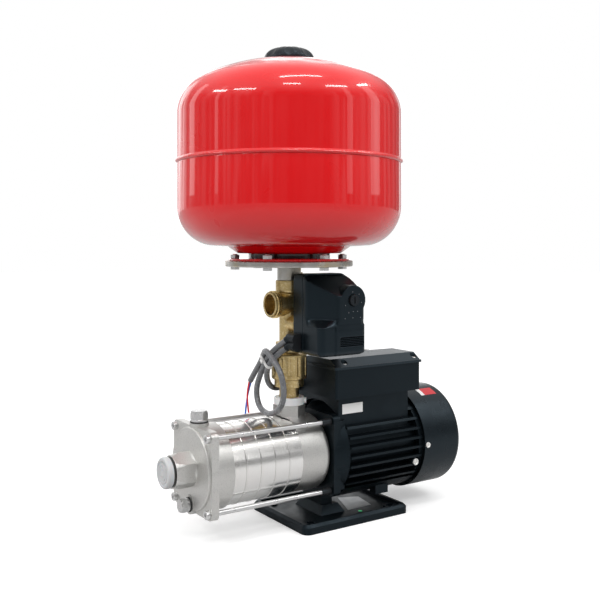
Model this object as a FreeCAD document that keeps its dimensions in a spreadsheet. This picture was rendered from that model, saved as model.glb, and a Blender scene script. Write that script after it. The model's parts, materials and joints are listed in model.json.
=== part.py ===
import FreeCAD
import Part
import Sketcher
import math
import os
import re

# Booster pump with pressure tank: a horizontal five stage pump on a motor, a check valve and a
# manifold on its outlet, a flow and pressure controller beside them and a bladder tank on top.
# Row frame in millimetres: +X from the inlet to the fan end, -Y is the controller side, +Z up,
# and the origin is the centre of the base plate's underside.

Vector = FreeCAD.Vector
STAGES = 5
FINS = 8
IMPELLER_VANES = 6
FAN_BLADES = 7
FLANGE_BOLTS = 6
VALVE_FLUTES = 12
GRILLE_ROWS = 3
GRILLE_SLOTS = 8
SPRING_TURNS = 4
COWL_SCREW_ANGLES = (180, 300, 60)

SIZES = {
    # Main places
    "outlet_x": -61,
    "shaft_z": 81.5,
    "seat_gap": 0.2,
    "run_gap": 0.06,
    # Base plate
    "base_len": 156,
    "base_wid": 123,
    "base_height": 11,
    "base_deck": 6.5,
    "base_rim": 7,
    "base_corner": 9,
    "base_chamfer": 3,
    "anchor_gap_x": 121,
    "anchor_gap_y": 90,
    "anchor_hole_r": 4.5,
    "anchor_boss_r": 9.5,
    "anchor_boss_height": 8.5,
    "pedestal_x": -15.5,
    "pedestal_len": 36,
    "pedestal_wid": 57,
    "pedestal_top_len": 23,
    "pedestal_top_wid": 44,
    "pedestal_height": 16.5,
    "foot_screw_gap": 28,
    "foot_screw_r": 3,
    "foot_head_r": 5.5,
    "foot_head_height": 4,
    "foot_screw_grip": 11,
    # Pump casing and stages
    "casing_front_x": -70.9,
    "casing_r": 46.5,
    "casing_wall": 3,
    "casing_round": 9,
    "lantern_x": -29,
    "stage_pitch": 19.1,
    "stage_wall": 1.2,
    "stage_ring": 0.7,
    "stage_ring_len": 1.5,
    "stage_eye_r": 15,
    "boss_af": 34,
    "boss_top_z": 141,
    "boss_skirt_r": 22,
    "boss_skirt_z": 129,
    # Front cover
    "cover_skirt": 3.4,
    "cover_len": 32,
    "cover_r": 49,
    "cover_bore_r": 43,
    "cover_face_r": 47,
    "cover_face_len": 3,
    "cover_plate_len": 9,
    "cover_plate_half": 48.5,
    "tie_gap": 83,
    "lobe_r": 7.5,
    "inlet_af": 36,
    "inlet_hex_len": 21,
    "inlet_neck_len": 3,
    "inlet_neck_r": 19.5,
    "inlet_bore_r": 15.1,
    "cap_r": 17.5,
    "cap_disc_len": 7,
    "cap_seal_len": 2.5,
    "cap_seal_r": 16.6,
    "cap_plug_r": 14.7,
    "cap_plug_len": 13,
    "cap_wall": 1.8,
    # Tie bolts
    "tie_rod_r": 2.9,
    "tie_head_r": 4.9,
    "tie_head_len": 4.5,
    "tie_recess_r": 2.4,
    "tie_recess_len": 2.4,
    "tie_bright_end_x": -42.4,
    "tie_nut_r": 3.9,
    "tie_grip": 8,
    # Priming and drain plugs
    "priming_back": 12,
    "priming_boss_r": 11,
    "priming_boss_height": 2.5,
    "washer_len": 1.8,
    "washer_r": 10.4,
    "plug_af": 17.5,
    "plug_hex_len": 9.5,
    "plug_collar_r": 10,
    "plug_collar_len": 2.2,
    "plug_shank_r": 6.5,
    "plug_shank_len": 8,
    "drain_drop": 40,
    "drain_boss_r": 11,
    "drain_boss_len": 4,
    "drain_scale": 0.8,
    # Bracket between pump and motor
    "lantern_plate_len": 10,
    "lantern_half": 49,
    "lantern_neck_r": 50,
    "lantern_bore_r": 36,
    "foot_len": 16,
    "foot_wid": 40,
    "gusset_wid": 9,
    # Motor
    "motor_front_x": -11,
    "motor_len": 113,
    "motor_core_r": 50,
    "motor_bore_r": 44,
    "fin_r": 61,
    "fin_pitch": 11.4,
    "fin_top": 43.9,
    "fin_wall": 2.8,
    "saddle_len": 102,
    "saddle_overhang": 7.5,
    "saddle_wid": 88,
    "motor_foot_x": 44,
    "motor_foot_len": 20,
    "motor_foot_wid": 12,
    "motor_foot_y": -31,
    "motor_foot_z": 22,
    "shield_len": 8,
    "shield_r": 60,
    "shield_hub_r": 25,
    "shield_hub_len": 13,
    "cowl_r": 65,
    "cowl_len": 63,
    "cowl_wall": 1.6,
    "cowl_round": 8,
    "cowl_screw_r": 3.4,
    "cowl_screw_len": 9,
    "cowl_lug_r": 5.5,
    "slot_row_gap": 13,
    "slot_first_r": 16,
    "slot_wall": 6,
    "earth_screw_x": 92,
    "earth_screw_z": 60.7,
    "earth_screw_r": 4.2,
    "earth_screw_len": 11,
    "earth_screw_in": 4,
    "belly_drop": 42,
    # Rotor
    "shaft_r": 7.5,
    "pump_shaft_r": 6,
    "fan_shaft_r": 6,
    "bearing_r": 17.5,
    "bearing_len": 11,
    "rotor_r": 25.6,
    "rotor_len": 74,
    "stator_bore_r": 26.1,
    "stator_len": 66,
    "winding_len": 13,
    "winding_r": 41,
    "impeller_r": 34,
    "impeller_eye_r": 13.6,
    "impeller_hub_r": 9.5,
    "impeller_wall": 1.6,
    "impeller_channel": 5,
    "seal_r": 12,
    "seal_len": 12,
    "fan_r": 56,
    "fan_hub_r": 13,
    "fan_len": 20,
    "fan_wall": 2,
    "fan_gap": 7,
    # Terminal box
    "box_front_x": -30,
    "box_len": 132,
    "box_wid": 110,
    "box_low_z": 151,
    "box_high_z": 186,
    "box_wall": 3,
    "box_corner": 2.5,
    "lid_height": 11.5,
    "lid_lip": 3,
    "lid_overhang": 2,
    "lid_front_run": 12.4,
    "lid_flat_wid": 42.6,
    "lid_screw_in_front": 16.7,
    "lid_screw_in_rear": 5.5,
    "lid_screw_in_y": 7,
    "lid_screw_len": 13,
    "lid_post_r": 4.8,
    "lid_room_in": 14,
    "lid_screw_r": 3.1,
    "lid_screw_height": 2.2,
    "capacitor_r": 17,
    "capacitor_len": 86,
    "terminal_len": 60,
    "terminal_wid": 22,
    "terminal_height": 14,
    "lead_gland_y": 30,
    "lead_gland_z": 158,
    "lead_gland_r": 8.5,
    "lead_gland_len": 12,
    # Outlet column
    "collar_r": 18.5,
    "collar_len": 9,
    "collar_nub_r": 3.4,
    "valve_neck_r": 12,
    "valve_neck_len": 13,
    "valve_step_r": 18,
    "valve_step_len": 9,
    "valve_r": 21.5,
    "valve_len": 32,
    "valve_round": 2.5,
    "valve_bore_r": 10,
    "valve_room_r": 15.5,
    "valve_spigot": 10,
    "flute_r": 3.2,
    "poppet_r": 13,
    "poppet_len": 4,
    "poppet_stem_r": 2.2,
    "spring_r": 6,
    "spring_wire_r": 0.7,
    "manifold_r": 12,
    "manifold_bore_r": 8.5,
    "manifold_collar_r": 16.4,
    "manifold_collar_z": 212,
    "manifold_collar_len": 5,
    "manifold_top_z": 292,
    "manifold_head_len": 14,
    "side_port_z": 263,
    "side_port_r": 16.6,
    "side_port_bore_r": 12.5,
    "side_port_reach": 28,
    "side_port_thread": 11,
    "controller_neck_r": 10,
    "control_neck_z": 240,
    "plug_ear_x": 20,
    "plug_ear_y": 6,
    "gauge_plug_r": 3.4,
    "gauge_plug_top_z": 301,
    "nipple_r": 14.5,
    "nipple_bore_r": 9,
    "nipple_spigot": 9,
    "flange_low_z": 309,
    "flange_len": 7,
    "flange_r": 77.5,
    "flange_turn": 35,
    "flange_bolt_circle_r": 66,
    "flange_bolt_r": 3,
    "flange_head_r": 6,
    "flange_head_len": 3.8,
    "flange_nut_len": 4.5,
    "flange_bolt_proud": 1,
    # Tank
    "tank_r": 136,
    "tank_wall": 2,
    "tank_skin_len": 2.5,
    "tank_neck_r": 50,
    "tank_skirt_r": 63,
    "tank_neck_z": 325,
    "tank_shoulder_r": 74.5,
    "tank_shoulder_len": 8,
    "tank_knuckle_r": 46,
    "tank_bottom_knuckle_r": 48,
    "tank_bottom_len": 56.5,
    "tank_lower_len": 51.5,
    "tank_upper_len": 59.5,
    "tank_dome_r": 250,
    "seam_r": 2.4,
    "bladder_gap": 6,
    "air_valve_r": 4,
    "air_valve_len": 9,
    "air_cap_r": 31,
    "air_cap_len": 17.5,
    "air_cap_dish_r": 11,
    # Controller
    "control_x": -9.4,
    "control_len": 65.7,
    "control_y": -24,
    "control_back_len": 20,
    "control_cover_len": 36,
    "control_low_z": 206,
    "control_top_z": 301,
    "control_corner": 7,
    "control_wall": 2.5,
    "control_belt_z": 240,
    "control_belt_len": 8,
    "control_cut_x": 25.2,
    "control_cut_y": 28.8,
    "control_cut_round": 8,
    "control_slope_back_z": 299,
    "control_slope_z": 275,
    "dial_x": 38.3,
    "dial_z": 270.5,
    "dial_boss_r": 17.5,
    "dial_r": 6.6,
    "dial_proud": 2.2,
    "dial_stem_r": 3,
    "dial_slot": 1.6,
    "window_x": 18,
    "window_len": 34,
    "window_z": 217,
    "window_height": 11,
    "window_depth": 3,
    "panel_low_z": 211,
    "panel_high_z": 236,
    "panel_proud": 1.5,
    "panel_bevel": 3,
    "panel_margin": 6,
    "diaphragm_r": 16,
    "diaphragm_len": 1.5,
    "plate_len": 3,
    "plate_travel": 1.5,
    "switch_len": 28,
    "switch_post_r": 2.3,
    "switch_height": 10,
    "switch_wid": 6.4,
    "gland_z": 220,
    "gland_r": 5.9,
    "gland_len": 16,
    "gland_nose_len": 5.5,
    "gland_pitch": 9,
    # Cables
    "cable_r": 3.5,
    "wire_r": 1.1,
    "tie_x": -91,
    "tie_y": 4.1,
    "tie_z": 195.7,
    "tie_band": 1.2,
    "tie_width": 3.6,
}

# What follows from the sizes: the tank's heights, and where its knuckle meets its dome
FORMULAS = {
    "tank_low_z": "tank_neck_z + tank_bottom_len",
    "tank_seam_z": "tank_low_z + tank_lower_len",
    "tank_high_z": "tank_seam_z + tank_upper_len",
    "dome_rim_sin": "(tank_r - tank_knuckle_r) / (tank_dome_r - tank_knuckle_r)",
    "dome_rim_cos": "sqrt(1 - dome_rim_sin ^ 2)",
    "tank_top_z": "tank_high_z + tank_dome_r - (tank_dome_r - tank_knuckle_r) * dome_rim_cos",
}

doc = FreeCAD.newDocument("booster_pump")
sheet = doc.addObject("Spreadsheet::Sheet", "Sizes")
for row, (word, content) in enumerate({**SIZES, **FORMULAS}.items(), start=1):
    sheet.set("A%d" % row, word)
    sheet.setAlias("B%d" % row, word)
    sheet.set("B%d" % row, "=" + content if word in FORMULAS else str(content))
doc.recompute()
WORDS = {*SIZES, *FORMULAS}

nodes = {}


def full(text):
    """The text of an expression with each size named as a cell of the sheet."""
    return re.sub(r"[a-z][a-z0-9_]*", lambda m: "Sizes." + m[0] if m[0] in WORDS else m[0], str(text))


def value(text):
    """The number that an expression of sizes has now."""
    return float(sheet.evalExpression(full(text)))


def bind(thing, **texts):
    """Binds properties of an object to expressions of the sizes."""
    for name, text in texts.items():
        thing.setExpression(name, full(text))
    return thing


def place(thing, x="0", y="0", z="0", turn=None):
    """Gives an object a place bound to the sizes, and a turn as (axis, degrees)."""
    if turn:
        thing.Placement = FreeCAD.Placement(Vector(0, 0, 0), FreeCAD.Rotation(Vector(*turn[0]), turn[1]))
    for axis, text in zip("xyz", (x, y, z)):
        thing.setExpression(".Placement.Base." + axis, full(text))
    return thing


ALONG_X = ((0, 1, 0), 90)
ALONG_MINUS_X = ((0, 1, 0), -90)
ALONG_PLUS_Y = ((1, 0, 0), -90)
ALONG_CABLE = ((-0.828, -0.56, 0), 124.75)
ALONG_MINUS_Y = ((1, 0, 0), 90)
HALF_HEX = ((0, 0, 1), 30)


def rod(radius, length, x="0", y="0", z="0", turn=None):
    return place(bind(doc.addObject("Part::Cylinder", "rod"), Radius=radius, Height=length), x, y, z, turn)


def block(length, width, height, x="0", y="0", z="0", turn=None):
    thing = bind(doc.addObject("Part::Box", "block"), Length=length, Width=width, Height=height)
    return place(thing, x, y, z, turn)


def cone(low_radius, high_radius, length, x="0", y="0", z="0", turn=None):
    thing = bind(doc.addObject("Part::Cone", "cone"), Radius1=low_radius, Radius2=high_radius, Height=length)
    return place(thing, x, y, z, turn)


def hexagon(flats, length, x="0", y="0", z="0", turn=None):
    thing = doc.addObject("Part::Prism", "hexagon")
    thing.Polygon = 6
    bind(thing, Circumradius="(%s) / 2 / cos(30 deg)" % flats, Height=length)
    return place(thing, x, y, z, turn)


def joined(*things):
    whole = doc.addObject("Part::MultiFuse", "joined")
    whole.Shapes = list(things)
    return whole


def without(base, *tools):
    whole = doc.addObject("Part::Cut", "without")
    whole.Base = base
    whole.Tool = tools[0] if len(tools) == 1 else joined(*tools)
    return whole


def shared(base, tool):
    whole = doc.addObject("Part::Common", "shared")
    whole.Base = base
    whole.Tool = tool
    return whole


def group(things):
    whole = doc.addObject("Part::Compound", "group")
    whole.Links = list(things)
    return whole


def node(name, thing):
    thing.Label = name
    nodes[name] = thing
    return thing


def new_body(name):
    return doc.addObject("PartDesign::Body", name + "_body")


def new_sketch(body, plane, offset="0"):
    sketch = body.newObject("Sketcher::SketchObject", "outline")
    origin = [item for item in body.Origin.OriginFeatures if item.Role == plane][0]
    sketch.AttachmentSupport = (origin, [""])
    sketch.MapMode = "FlatFace"
    if offset != "0":
        sketch.setExpression(".AttachmentOffset.Base.z", full(offset))
    return sketch


def pin_point(sketch, edge, end, x, y):
    """Ties one end of a sketch edge to a place given as expressions."""
    for kind, text, axis in (("DistanceX", x, -2), ("DistanceY", y, -1)):
        if abs(value(text)) < 1e-9:
            sketch.addConstraint(Sketcher.Constraint("PointOnObject", edge, end, axis))
        else:
            rule = sketch.addConstraint(Sketcher.Constraint(kind, -1, 1, edge, end, value(text)))
            sketch.renameConstraint(rule, "%s_%d_%d" % (kind, edge, end))
            sketch.setExpression("Constraints.%s_%d_%d" % (kind, edge, end), full(text))


def arc_between(start, end, radius, side):
    """The short arc from start to end, with its centre on the left (1) or the right (-1)."""
    chord = end - start
    rise = math.sqrt(max(radius * radius - chord.Length ** 2 / 4, 0))
    across = Vector(-chord.y, chord.x, 0).normalize()
    centre = (start + end) * 0.5 + across * rise * side
    first, last = (start, end) if side > 0 else (end, start)
    angles = [math.atan2(point.y - centre.y, point.x - centre.x) for point in (first, last)]
    return Part.ArcOfCircle(Part.Circle(centre, Vector(0, 0, 1), radius), angles[0], angles[1])


def draw(sketch, points):
    """Draws a closed outline. A point is (x, y) or, where an arc leaves it, (x, y, radius, side)."""
    first_edge = sketch.GeometryCount
    corners = [Vector(value(point[0]), value(point[1]), 0) for point in points]
    ends = []
    for number, point in enumerate(points):
        start, end = corners[number], corners[(number + 1) % len(points)]
        if len(point) == 2:
            sketch.addGeometry(Part.LineSegment(start, end), False)
            ends.append((1, 2))
        else:
            sketch.addGeometry(arc_between(start, end, value(point[2]), point[3]), False)
            ends.append((1, 2) if point[3] > 0 else (2, 1))
    for number, point in enumerate(points):
        edge, before = first_edge + number, (number - 1) % len(points)
        sketch.addConstraint(
            Sketcher.Constraint("Coincident", first_edge + before, ends[before][1], edge, ends[number][0]))
        pin_point(sketch, edge, ends[number][0], point[0], point[1])
        if len(point) > 2:
            rule = sketch.addConstraint(Sketcher.Constraint("Radius", edge, value(point[2])))
            sketch.renameConstraint(rule, "Radius_%d" % edge)
            sketch.setExpression("Constraints.Radius_%d" % edge, full(point[2]))


def draw_circle(sketch, x, y, radius):
    centre = Vector(value(x), value(y), 0)
    edge = sketch.addGeometry(Part.Circle(centre, Vector(0, 0, 1), value(radius)), False)
    pin_point(sketch, edge, 3, x, y)
    rule = sketch.addConstraint(Sketcher.Constraint("Radius", edge, value(radius)))
    sketch.renameConstraint(rule, "Radius_%d" % edge)
    sketch.setExpression("Constraints.Radius_%d" % edge, full(radius))


def round_box(x0, x1, y0, y1, radii):
    """A rectangle with its own corner radius at (x0, y0), (x1, y0), (x1, y1) and (x0, y1)."""
    radii = radii if isinstance(radii, tuple) else (radii,) * 4
    a, b, c, d = ["(%s)" % radius for radius in radii]
    return [
        ("%s + %s" % (x0, a), y0), ("%s - %s" % (x1, b), y0, b, 1),
        (x1, "%s + %s" % (y0, b)), (x1, "%s - %s" % (y1, c), c, 1),
        ("%s - %s" % (x1, c), y1), ("%s + %s" % (x0, d), y1, d, 1),
        (x0, "%s - %s" % (y1, d)), (x0, "%s + %s" % (y0, a), a, 1),
    ]


def front_rounded(x0, x1, y0, y1, left, right):
    """A rectangle rounded only at its two front corners."""
    return [
        ("%s + %s" % (x0, left), y0), ("%s - %s" % (x1, right), y0, right, 1), (x1, "%s + %s" % (y0, right)),
        (x1, y1), (x0, y1), (x0, "%s + %s" % (y0, left), left, 1),
    ]


def grow(body, kind, plane, points, length, offset="0", reverse=False, circles=()):
    """Adds a Pad or a Pocket of one outline, or of circles, to a body."""
    sketch = new_sketch(body, plane, offset)
    if points:
        draw(sketch, points)
    for circle in circles:
        draw_circle(sketch, *circle)
    feature = body.newObject("PartDesign::" + kind, kind)
    feature.Profile = (sketch, [""])
    feature.setExpression("Length", full(length))
    feature.Reversed = reverse
    sketch.Visibility = False
    return feature


def turned(name, axis, points, x="0", y="0", z="0", turn=None):
    """A body turned on a lathe. Points are (radius, height) about Z, or (length, radius) about X or Y."""
    body = new_body(name)
    sketch = new_sketch(body, "YZ_Plane" if axis == "Y" else "XZ_Plane")
    draw(sketch, points)
    feature = body.newObject("PartDesign::Revolution", "turning")
    feature.Profile = (sketch, [""])
    feature.ReferenceAxis = (sketch, ["V_Axis" if axis == "Z" else "H_Axis"])
    feature.Angle = 360
    return place(body, x, y, z, turn)


def dressed_edges(body, kind, size, wanted):
    """Rounds or bevels the edges of a body that the wanted test picks."""
    doc.recompute()
    base = body.Tip
    names = ["Edge%d" % (n + 1) for n, edge in enumerate(base.Shape.Edges) if wanted(edge.BoundBox)]
    feature = body.newObject("PartDesign::" + kind, kind)
    feature.Base = (base, names)
    feature.setExpression("Radius" if kind == "Fillet" else "Size", full(size))
    return feature


def four_corners(gap_a, gap_b):
    """The four places at the corners of a rectangle, as pairs of expressions."""
    return [("%s(%s) / 2" % (a, gap_a), "%s(%s) / 2" % (b, gap_b)) for a in ("", "-") for b in ("", "-")]


def around(radius, count, first="0"):
    """Places evenly spaced on a circle, as pairs of expressions."""
    turns = ["(%s + %g) * 1 deg" % (first, 360 * n / count) for n in range(count)]
    return [("(%s) * cos(%s)" % (radius, t), "(%s) * sin(%s)" % (radius, t)) for t in turns]


# Base plate: a cast frame with a raised rim, a sunk deck, four anchor holes and a pedestal

def base_plate():
    body = new_body("base_plate")
    half_x, half_y = "base_len / 2", "base_wid / 2"
    rim = round_box("-" + half_x, half_x, "-" + half_y, half_y, "base_corner")
    grow(body, "Pad", "XY_Plane", rim, "base_height")
    top = value("base_height")
    dressed_edges(body, "Chamfer", "base_chamfer", lambda box: box.ZMin > top - 0.01)
    deck_x, deck_y = half_x + " - base_rim", half_y + " - base_rim"
    deck = round_box("-(%s)" % deck_x, deck_x, "-(%s)" % deck_y, deck_y, "base_corner / 2")
    grow(body, "Pocket", "XY_Plane", deck, "base_height - base_deck", "base_height")
    anchors = four_corners("anchor_gap_x", "anchor_gap_y")
    bosses = [(x, y, "anchor_boss_r") for x, y in anchors]
    grow(body, "Pad", "XY_Plane", None, "anchor_boss_height", circles=bosses)
    low = new_sketch(body, "XY_Plane", "base_deck")
    draw(low, pedestal_outline("pedestal_len", "pedestal_wid"))
    high = new_sketch(body, "XY_Plane", "pedestal_height")
    draw(high, pedestal_outline("pedestal_top_len", "pedestal_top_wid"))
    loft = body.newObject("PartDesign::AdditiveLoft", "pedestal")
    loft.Profile = (low, [""])
    loft.Sections = [(high, [""])]
    loft.Ruled = True
    holes = [(x, y, "anchor_hole_r") for x, y in anchors]
    grow(body, "Pocket", "XY_Plane", None, "base_height", "base_height", circles=holes)
    screws = [("pedestal_x", y, "foot_screw_r + seat_gap") for y in foot_screw_rows()]
    grow(body, "Pocket", "XY_Plane", None, "pedestal_height", "pedestal_height", circles=screws)
    heads = [("pedestal_x", y, "foot_head_r + seat_gap") for y in foot_screw_rows()]
    grow(body, "Pocket", "XY_Plane", None, "foot_head_height + 1", reverse=True, circles=heads)
    node("base_plate", body)


def pedestal_outline(length, width):
    left, right = "pedestal_x - %s / 2" % length, "pedestal_x + %s / 2" % length
    return [(left, "-%s / 2" % width), (right, "-%s / 2" % width), (right, width + " / 2"),
            (left, width + " / 2")]


def foot_screw_rows():
    return ["-foot_screw_gap / 2", "foot_screw_gap / 2"]


def foot_screws():
    screws = []
    for y in foot_screw_rows():
        head = rod("foot_head_r", "foot_head_height", "pedestal_x", y, "1")
        shank_len = "pedestal_height + foot_screw_grip - 1"
        shank = rod("foot_screw_r", shank_len, "pedestal_x", y, "1")
        screws.append(joined(head, shank))
    node("foot_screws", group(screws))


# Bracket: a square flange for the tie bolts, a neck, a foot and two gussets

def motor_bracket():
    depth = "motor_front_x - lantern_x"
    plate = new_body("bracket_plate")
    half = "lantern_half"
    square = round_box("-" + half, half, "-" + half, half, "lobe_r")
    grow(plate, "Pad", "YZ_Plane", square, "lantern_plate_len")
    place(plate, "lantern_x", "0", "shaft_z")
    neck = cone("lantern_neck_r", "fin_r - 3", depth, "lantern_x", "0", "shaft_z", ALONG_X)
    foot_height = "shaft_z - pedestal_height - lantern_bore_r"
    foot = block("foot_len", "foot_wid", foot_height, "motor_front_x - seat_gap - foot_len", "-foot_wid / 2",
                 "pedestal_height")
    gussets = [
        block(depth, "gusset_wid", "tie_gap", "lantern_x", y, "shaft_z - tie_gap / 2")
        for y in ("-tie_gap / 2 - gusset_wid / 2", "tie_gap / 2 - gusset_wid / 2")
    ]
    bore = rod("lantern_bore_r", depth, "lantern_x - 1", "0", "shaft_z", ALONG_X)
    seat = rod("bearing_r + seat_gap", "bearing_len + 2", "motor_front_x - bearing_len - 1", "0", "shaft_z",
               ALONG_X)
    web = rod("lantern_bore_r + 1", "4", "motor_front_x - bearing_len - 4", "0", "shaft_z", ALONG_X)
    web_ring = without(web, rod("seal_r + 2", "6", "motor_front_x - bearing_len - 5", "0", "shaft_z",
                                ALONG_X))
    tie_holes = [
        rod("tie_rod_r + seat_gap", "tie_grip + 1", "lantern_x - 1", y, "shaft_z + " + z, ALONG_X)
        for y, z in four_corners("tie_gap", "tie_gap")
    ]
    screw_holes = [
        rod("foot_screw_r + seat_gap", "foot_screw_grip + 2", "pedestal_x", y, "pedestal_height - 1")
        for y in foot_screw_rows()
    ]
    hub = rod("lantern_bore_r + 1", "bearing_len", "motor_front_x - bearing_len", "0", "shaft_z", ALONG_X)
    solid = without(joined(plate, neck, foot, *gussets), bore)
    node("motor_bracket", without(joined(solid, web_ring, hub), seat, *tie_holes, *screw_holes))


# Motor: a finned housing, the end shield and the fan cowl

def motor_housing():
    """Cored drum with flat horizontal fins, a smooth belly, a saddle for the terminal box and a foot."""
    core = rod("motor_core_r", "motor_len", "motor_front_x", "0", "shaft_z", ALONG_X)
    plates = [
        block("motor_len", "fin_r * 2", "fin_wall", "motor_front_x", "-fin_r",
              "shaft_z + fin_top - fin_pitch * %d - fin_wall / 2" % n)
        for n in range(FINS)
    ]
    belly = block("motor_len", "fin_r * 2", "fin_r - belly_drop", "motor_front_x", "-fin_r",
                  "shaft_z - fin_r")
    limit = rod("fin_r", "motor_len", "motor_front_x", "0", "shaft_z", ALONG_X)
    fins = shared(joined(belly, *plates), limit)
    saddle = block("saddle_len", "saddle_wid", "box_low_z - shaft_z", "motor_front_x", "-saddle_wid / 2",
                   "shaft_z")
    overhang = without(
        block("saddle_overhang", "saddle_wid", "box_low_z - shaft_z", "motor_front_x - saddle_overhang",
              "-saddle_wid / 2", "shaft_z"),
        rod("fin_r", "saddle_overhang + 2", "motor_front_x - saddle_overhang - 1", "0", "shaft_z", ALONG_X),
        block("saddle_overhang + 2", "saddle_wid + 2", "lantern_half - lobe_r",
              "motor_front_x - saddle_overhang - 1",
              "-saddle_wid / 2 - 1", "shaft_z"))
    foot = block("motor_foot_len", "motor_foot_wid", "shaft_z - motor_foot_z",
                 "motor_foot_x", "motor_foot_y - motor_foot_wid / 2", "motor_foot_z")
    rear_ring = rod("fin_r - 1.5", "5", "motor_front_x + motor_len - 5", "0", "shaft_z", ALONG_X)
    boss_r, face = "earth_screw_r + 1", "fin_r - earth_screw_in - seat_gap"
    earth_boss = rod(boss_r, face + " - motor_core_r + 8", "earth_screw_x", "-motor_core_r + 8",
                     "earth_screw_z",
                     ALONG_MINUS_Y)
    recess = rod(boss_r, "earth_screw_in + 2", "earth_screw_x", "-(%s)" % face, "earth_screw_z",
                 ALONG_MINUS_Y)
    bore = rod("motor_bore_r", "motor_len + 2", "motor_front_x - 1", "0", "shaft_z", ALONG_X)
    earth = rod("earth_screw_r / 2 + seat_gap", "earth_screw_len + 2", "earth_screw_x", "-(%s) - 1" % face,
                "earth_screw_z", ALONG_PLUS_Y)
    solid = joined(without(joined(core, fins, saddle, rear_ring), recess), overhang, foot, earth_boss)
    node("motor_housing", without(solid, bore, earth))


def rear_end_shield():
    inner = "shield_len"
    points = [
        ("0", "shaft_r + 1"), ("0", "bearing_r + seat_gap - 0.001"), ("0", "shield_r"),
        (inner, "shield_r"), (inner, "shield_hub_r"), ("shield_hub_len", "shield_hub_r"),
        ("shield_hub_len", "shaft_r + 1"),
    ]
    disc = turned("rear_end_shield", "X", points, "motor_front_x + motor_len", "0", "shaft_z")
    pocket = rod("bearing_r + seat_gap", "bearing_len", "motor_front_x + motor_len - 1", "0", "shaft_z",
                 ALONG_X)
    lugs = [
        spoke("cowl_lug_r", "cowl_r / 2", "motor_front_x + motor_len + shield_len / 2", angle, "cowl_r / 2")
        for angle in COWL_SCREW_ANGLES
    ]
    holes = [
        spoke("cowl_screw_r / 2 + seat_gap", "cowl_screw_len", "motor_front_x + motor_len + shield_len / 2",
              angle,
              "cowl_r - cowl_screw_len")
        for angle in COWL_SCREW_ANGLES
    ]
    inside = rod("cowl_r - cowl_wall - seat_gap", "shield_len", "motor_front_x + motor_len", "0", "shaft_z",
                 ALONG_X)
    node("rear_end_shield", without(shared(joined(disc, *lugs), inside), pocket, *holes))


def spoke(radius, length, x, angle, start):
    """A rod that points away from the shaft at an angle counted from +Y towards +Z."""
    y = "(%s) * cos(%g deg)" % (start, angle)
    z = "shaft_z + (%s) * sin(%g deg)" % (start, angle)
    return rod(radius, length, x, y, z, ((1, 0, 0), angle - 90))


def fan_cover():
    outer, inner, length = "cowl_r", "cowl_r - cowl_wall", "cowl_len"
    bend, inner_bend = "cowl_round", "(cowl_round - cowl_wall)"
    points = [
        ("0", inner), ("0", outer), ("%s - %s" % (length, bend), outer, bend, -1),
        (length, "%s - %s" % (outer, bend)), (length, "0"), (length + " - cowl_wall", "0"),
        (length + " - cowl_wall", "%s - %s" % (outer, bend), inner_bend, 1),
        ("%s - %s" % (length, bend), inner),
    ]
    shell = turned("fan_cover", "X", points, "motor_front_x + motor_len", "0", "shaft_z")
    slots = [grille_row(row) for row in range(GRILLE_ROWS)]
    holes = [
        spoke("cowl_screw_r / 2 + seat_gap", "cowl_screw_len", "motor_front_x + motor_len + shield_len / 2",
              angle,
              "cowl_r - 5")
        for angle in COWL_SCREW_ANGLES
    ]
    node("fan_cover", without(shell, *slots, *holes))


def grille_row(row):
    """One ring of the cowl's rear grille, cut into slots by spokes."""
    low = "slot_first_r + slot_row_gap * %d" % row
    start = "motor_front_x + motor_len + cowl_len - cowl_wall - 1"
    ring = without(
        rod("%s + slot_wall" % low, "cowl_wall + 2", start, "0", "shaft_z", ALONG_X),
        rod(low, "cowl_wall + 4", start + " - 1", "0", "shaft_z", ALONG_X))
    bars = []
    for number in range(GRILLE_SLOTS // 2):
        angle = 180 * number / (GRILLE_SLOTS // 2)
        across, up = "cos(%g deg)" % angle, "sin(%g deg)" % angle
        y = "-cowl_r * %s + slot_wall / 4 * %s" % (across, up)
        z = "shaft_z - cowl_r * %s - slot_wall / 4 * %s" % (up, across)
        bars.append(block("cowl_wall + 4", "cowl_r * 2", "slot_wall / 2", start + " - 1", y, z,
                          ((1, 0, 0), angle)))
    return without(ring, *bars)


def fan_cover_screws():
    x = "motor_front_x + motor_len + shield_len / 2"
    screws = []
    for angle in COWL_SCREW_ANGLES:
        head = spoke("cowl_screw_r", "cowl_screw_r / 2", x, angle, "cowl_r + seat_gap / 2")
        shank = spoke("cowl_screw_r / 2", "cowl_screw_len - 1", x, angle,
                      "cowl_r + seat_gap - cowl_screw_len + 1")
        screws.append(joined(head, shank))
    node("fan_cover_screws", group(screws))


def earth_screw():
    seat = "-fin_r + earth_screw_in"
    head = rod("earth_screw_r", "earth_screw_r / 2", "earth_screw_x", seat, "earth_screw_z", ALONG_MINUS_Y)
    shank = rod("earth_screw_r / 2", "earth_screw_len", "earth_screw_x", seat + " + earth_screw_len",
                "earth_screw_z",
                ALONG_MINUS_Y)
    node("earth_screw", joined(head, shank))


# Rotor and everything that turns with the shaft

def pump_shaft():
    front = "casing_front_x - stage_pitch * %d - 14" % STAGES
    seal_step = "lantern_x + 2"
    fan_step = "motor_front_x + motor_len + bearing_len"
    rear = fan_step + " + fan_gap + fan_len + 6"
    points = [
        (front, "0"), (rear, "0"), (rear, "fan_shaft_r"), (fan_step, "fan_shaft_r"), (fan_step, "shaft_r"),
        (seal_step, "shaft_r"), (seal_step, "pump_shaft_r"), (front, "pump_shaft_r"),
    ]
    node("pump_shaft", turned("pump_shaft", "X", points, "0", "0", "shaft_z"))


def tube_x(name, outer, inner, length, x):
    points = [("0", inner), (length, inner), (length, outer), ("0", outer)]
    return turned(name, "X", points, x, "0", "shaft_z")


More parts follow.
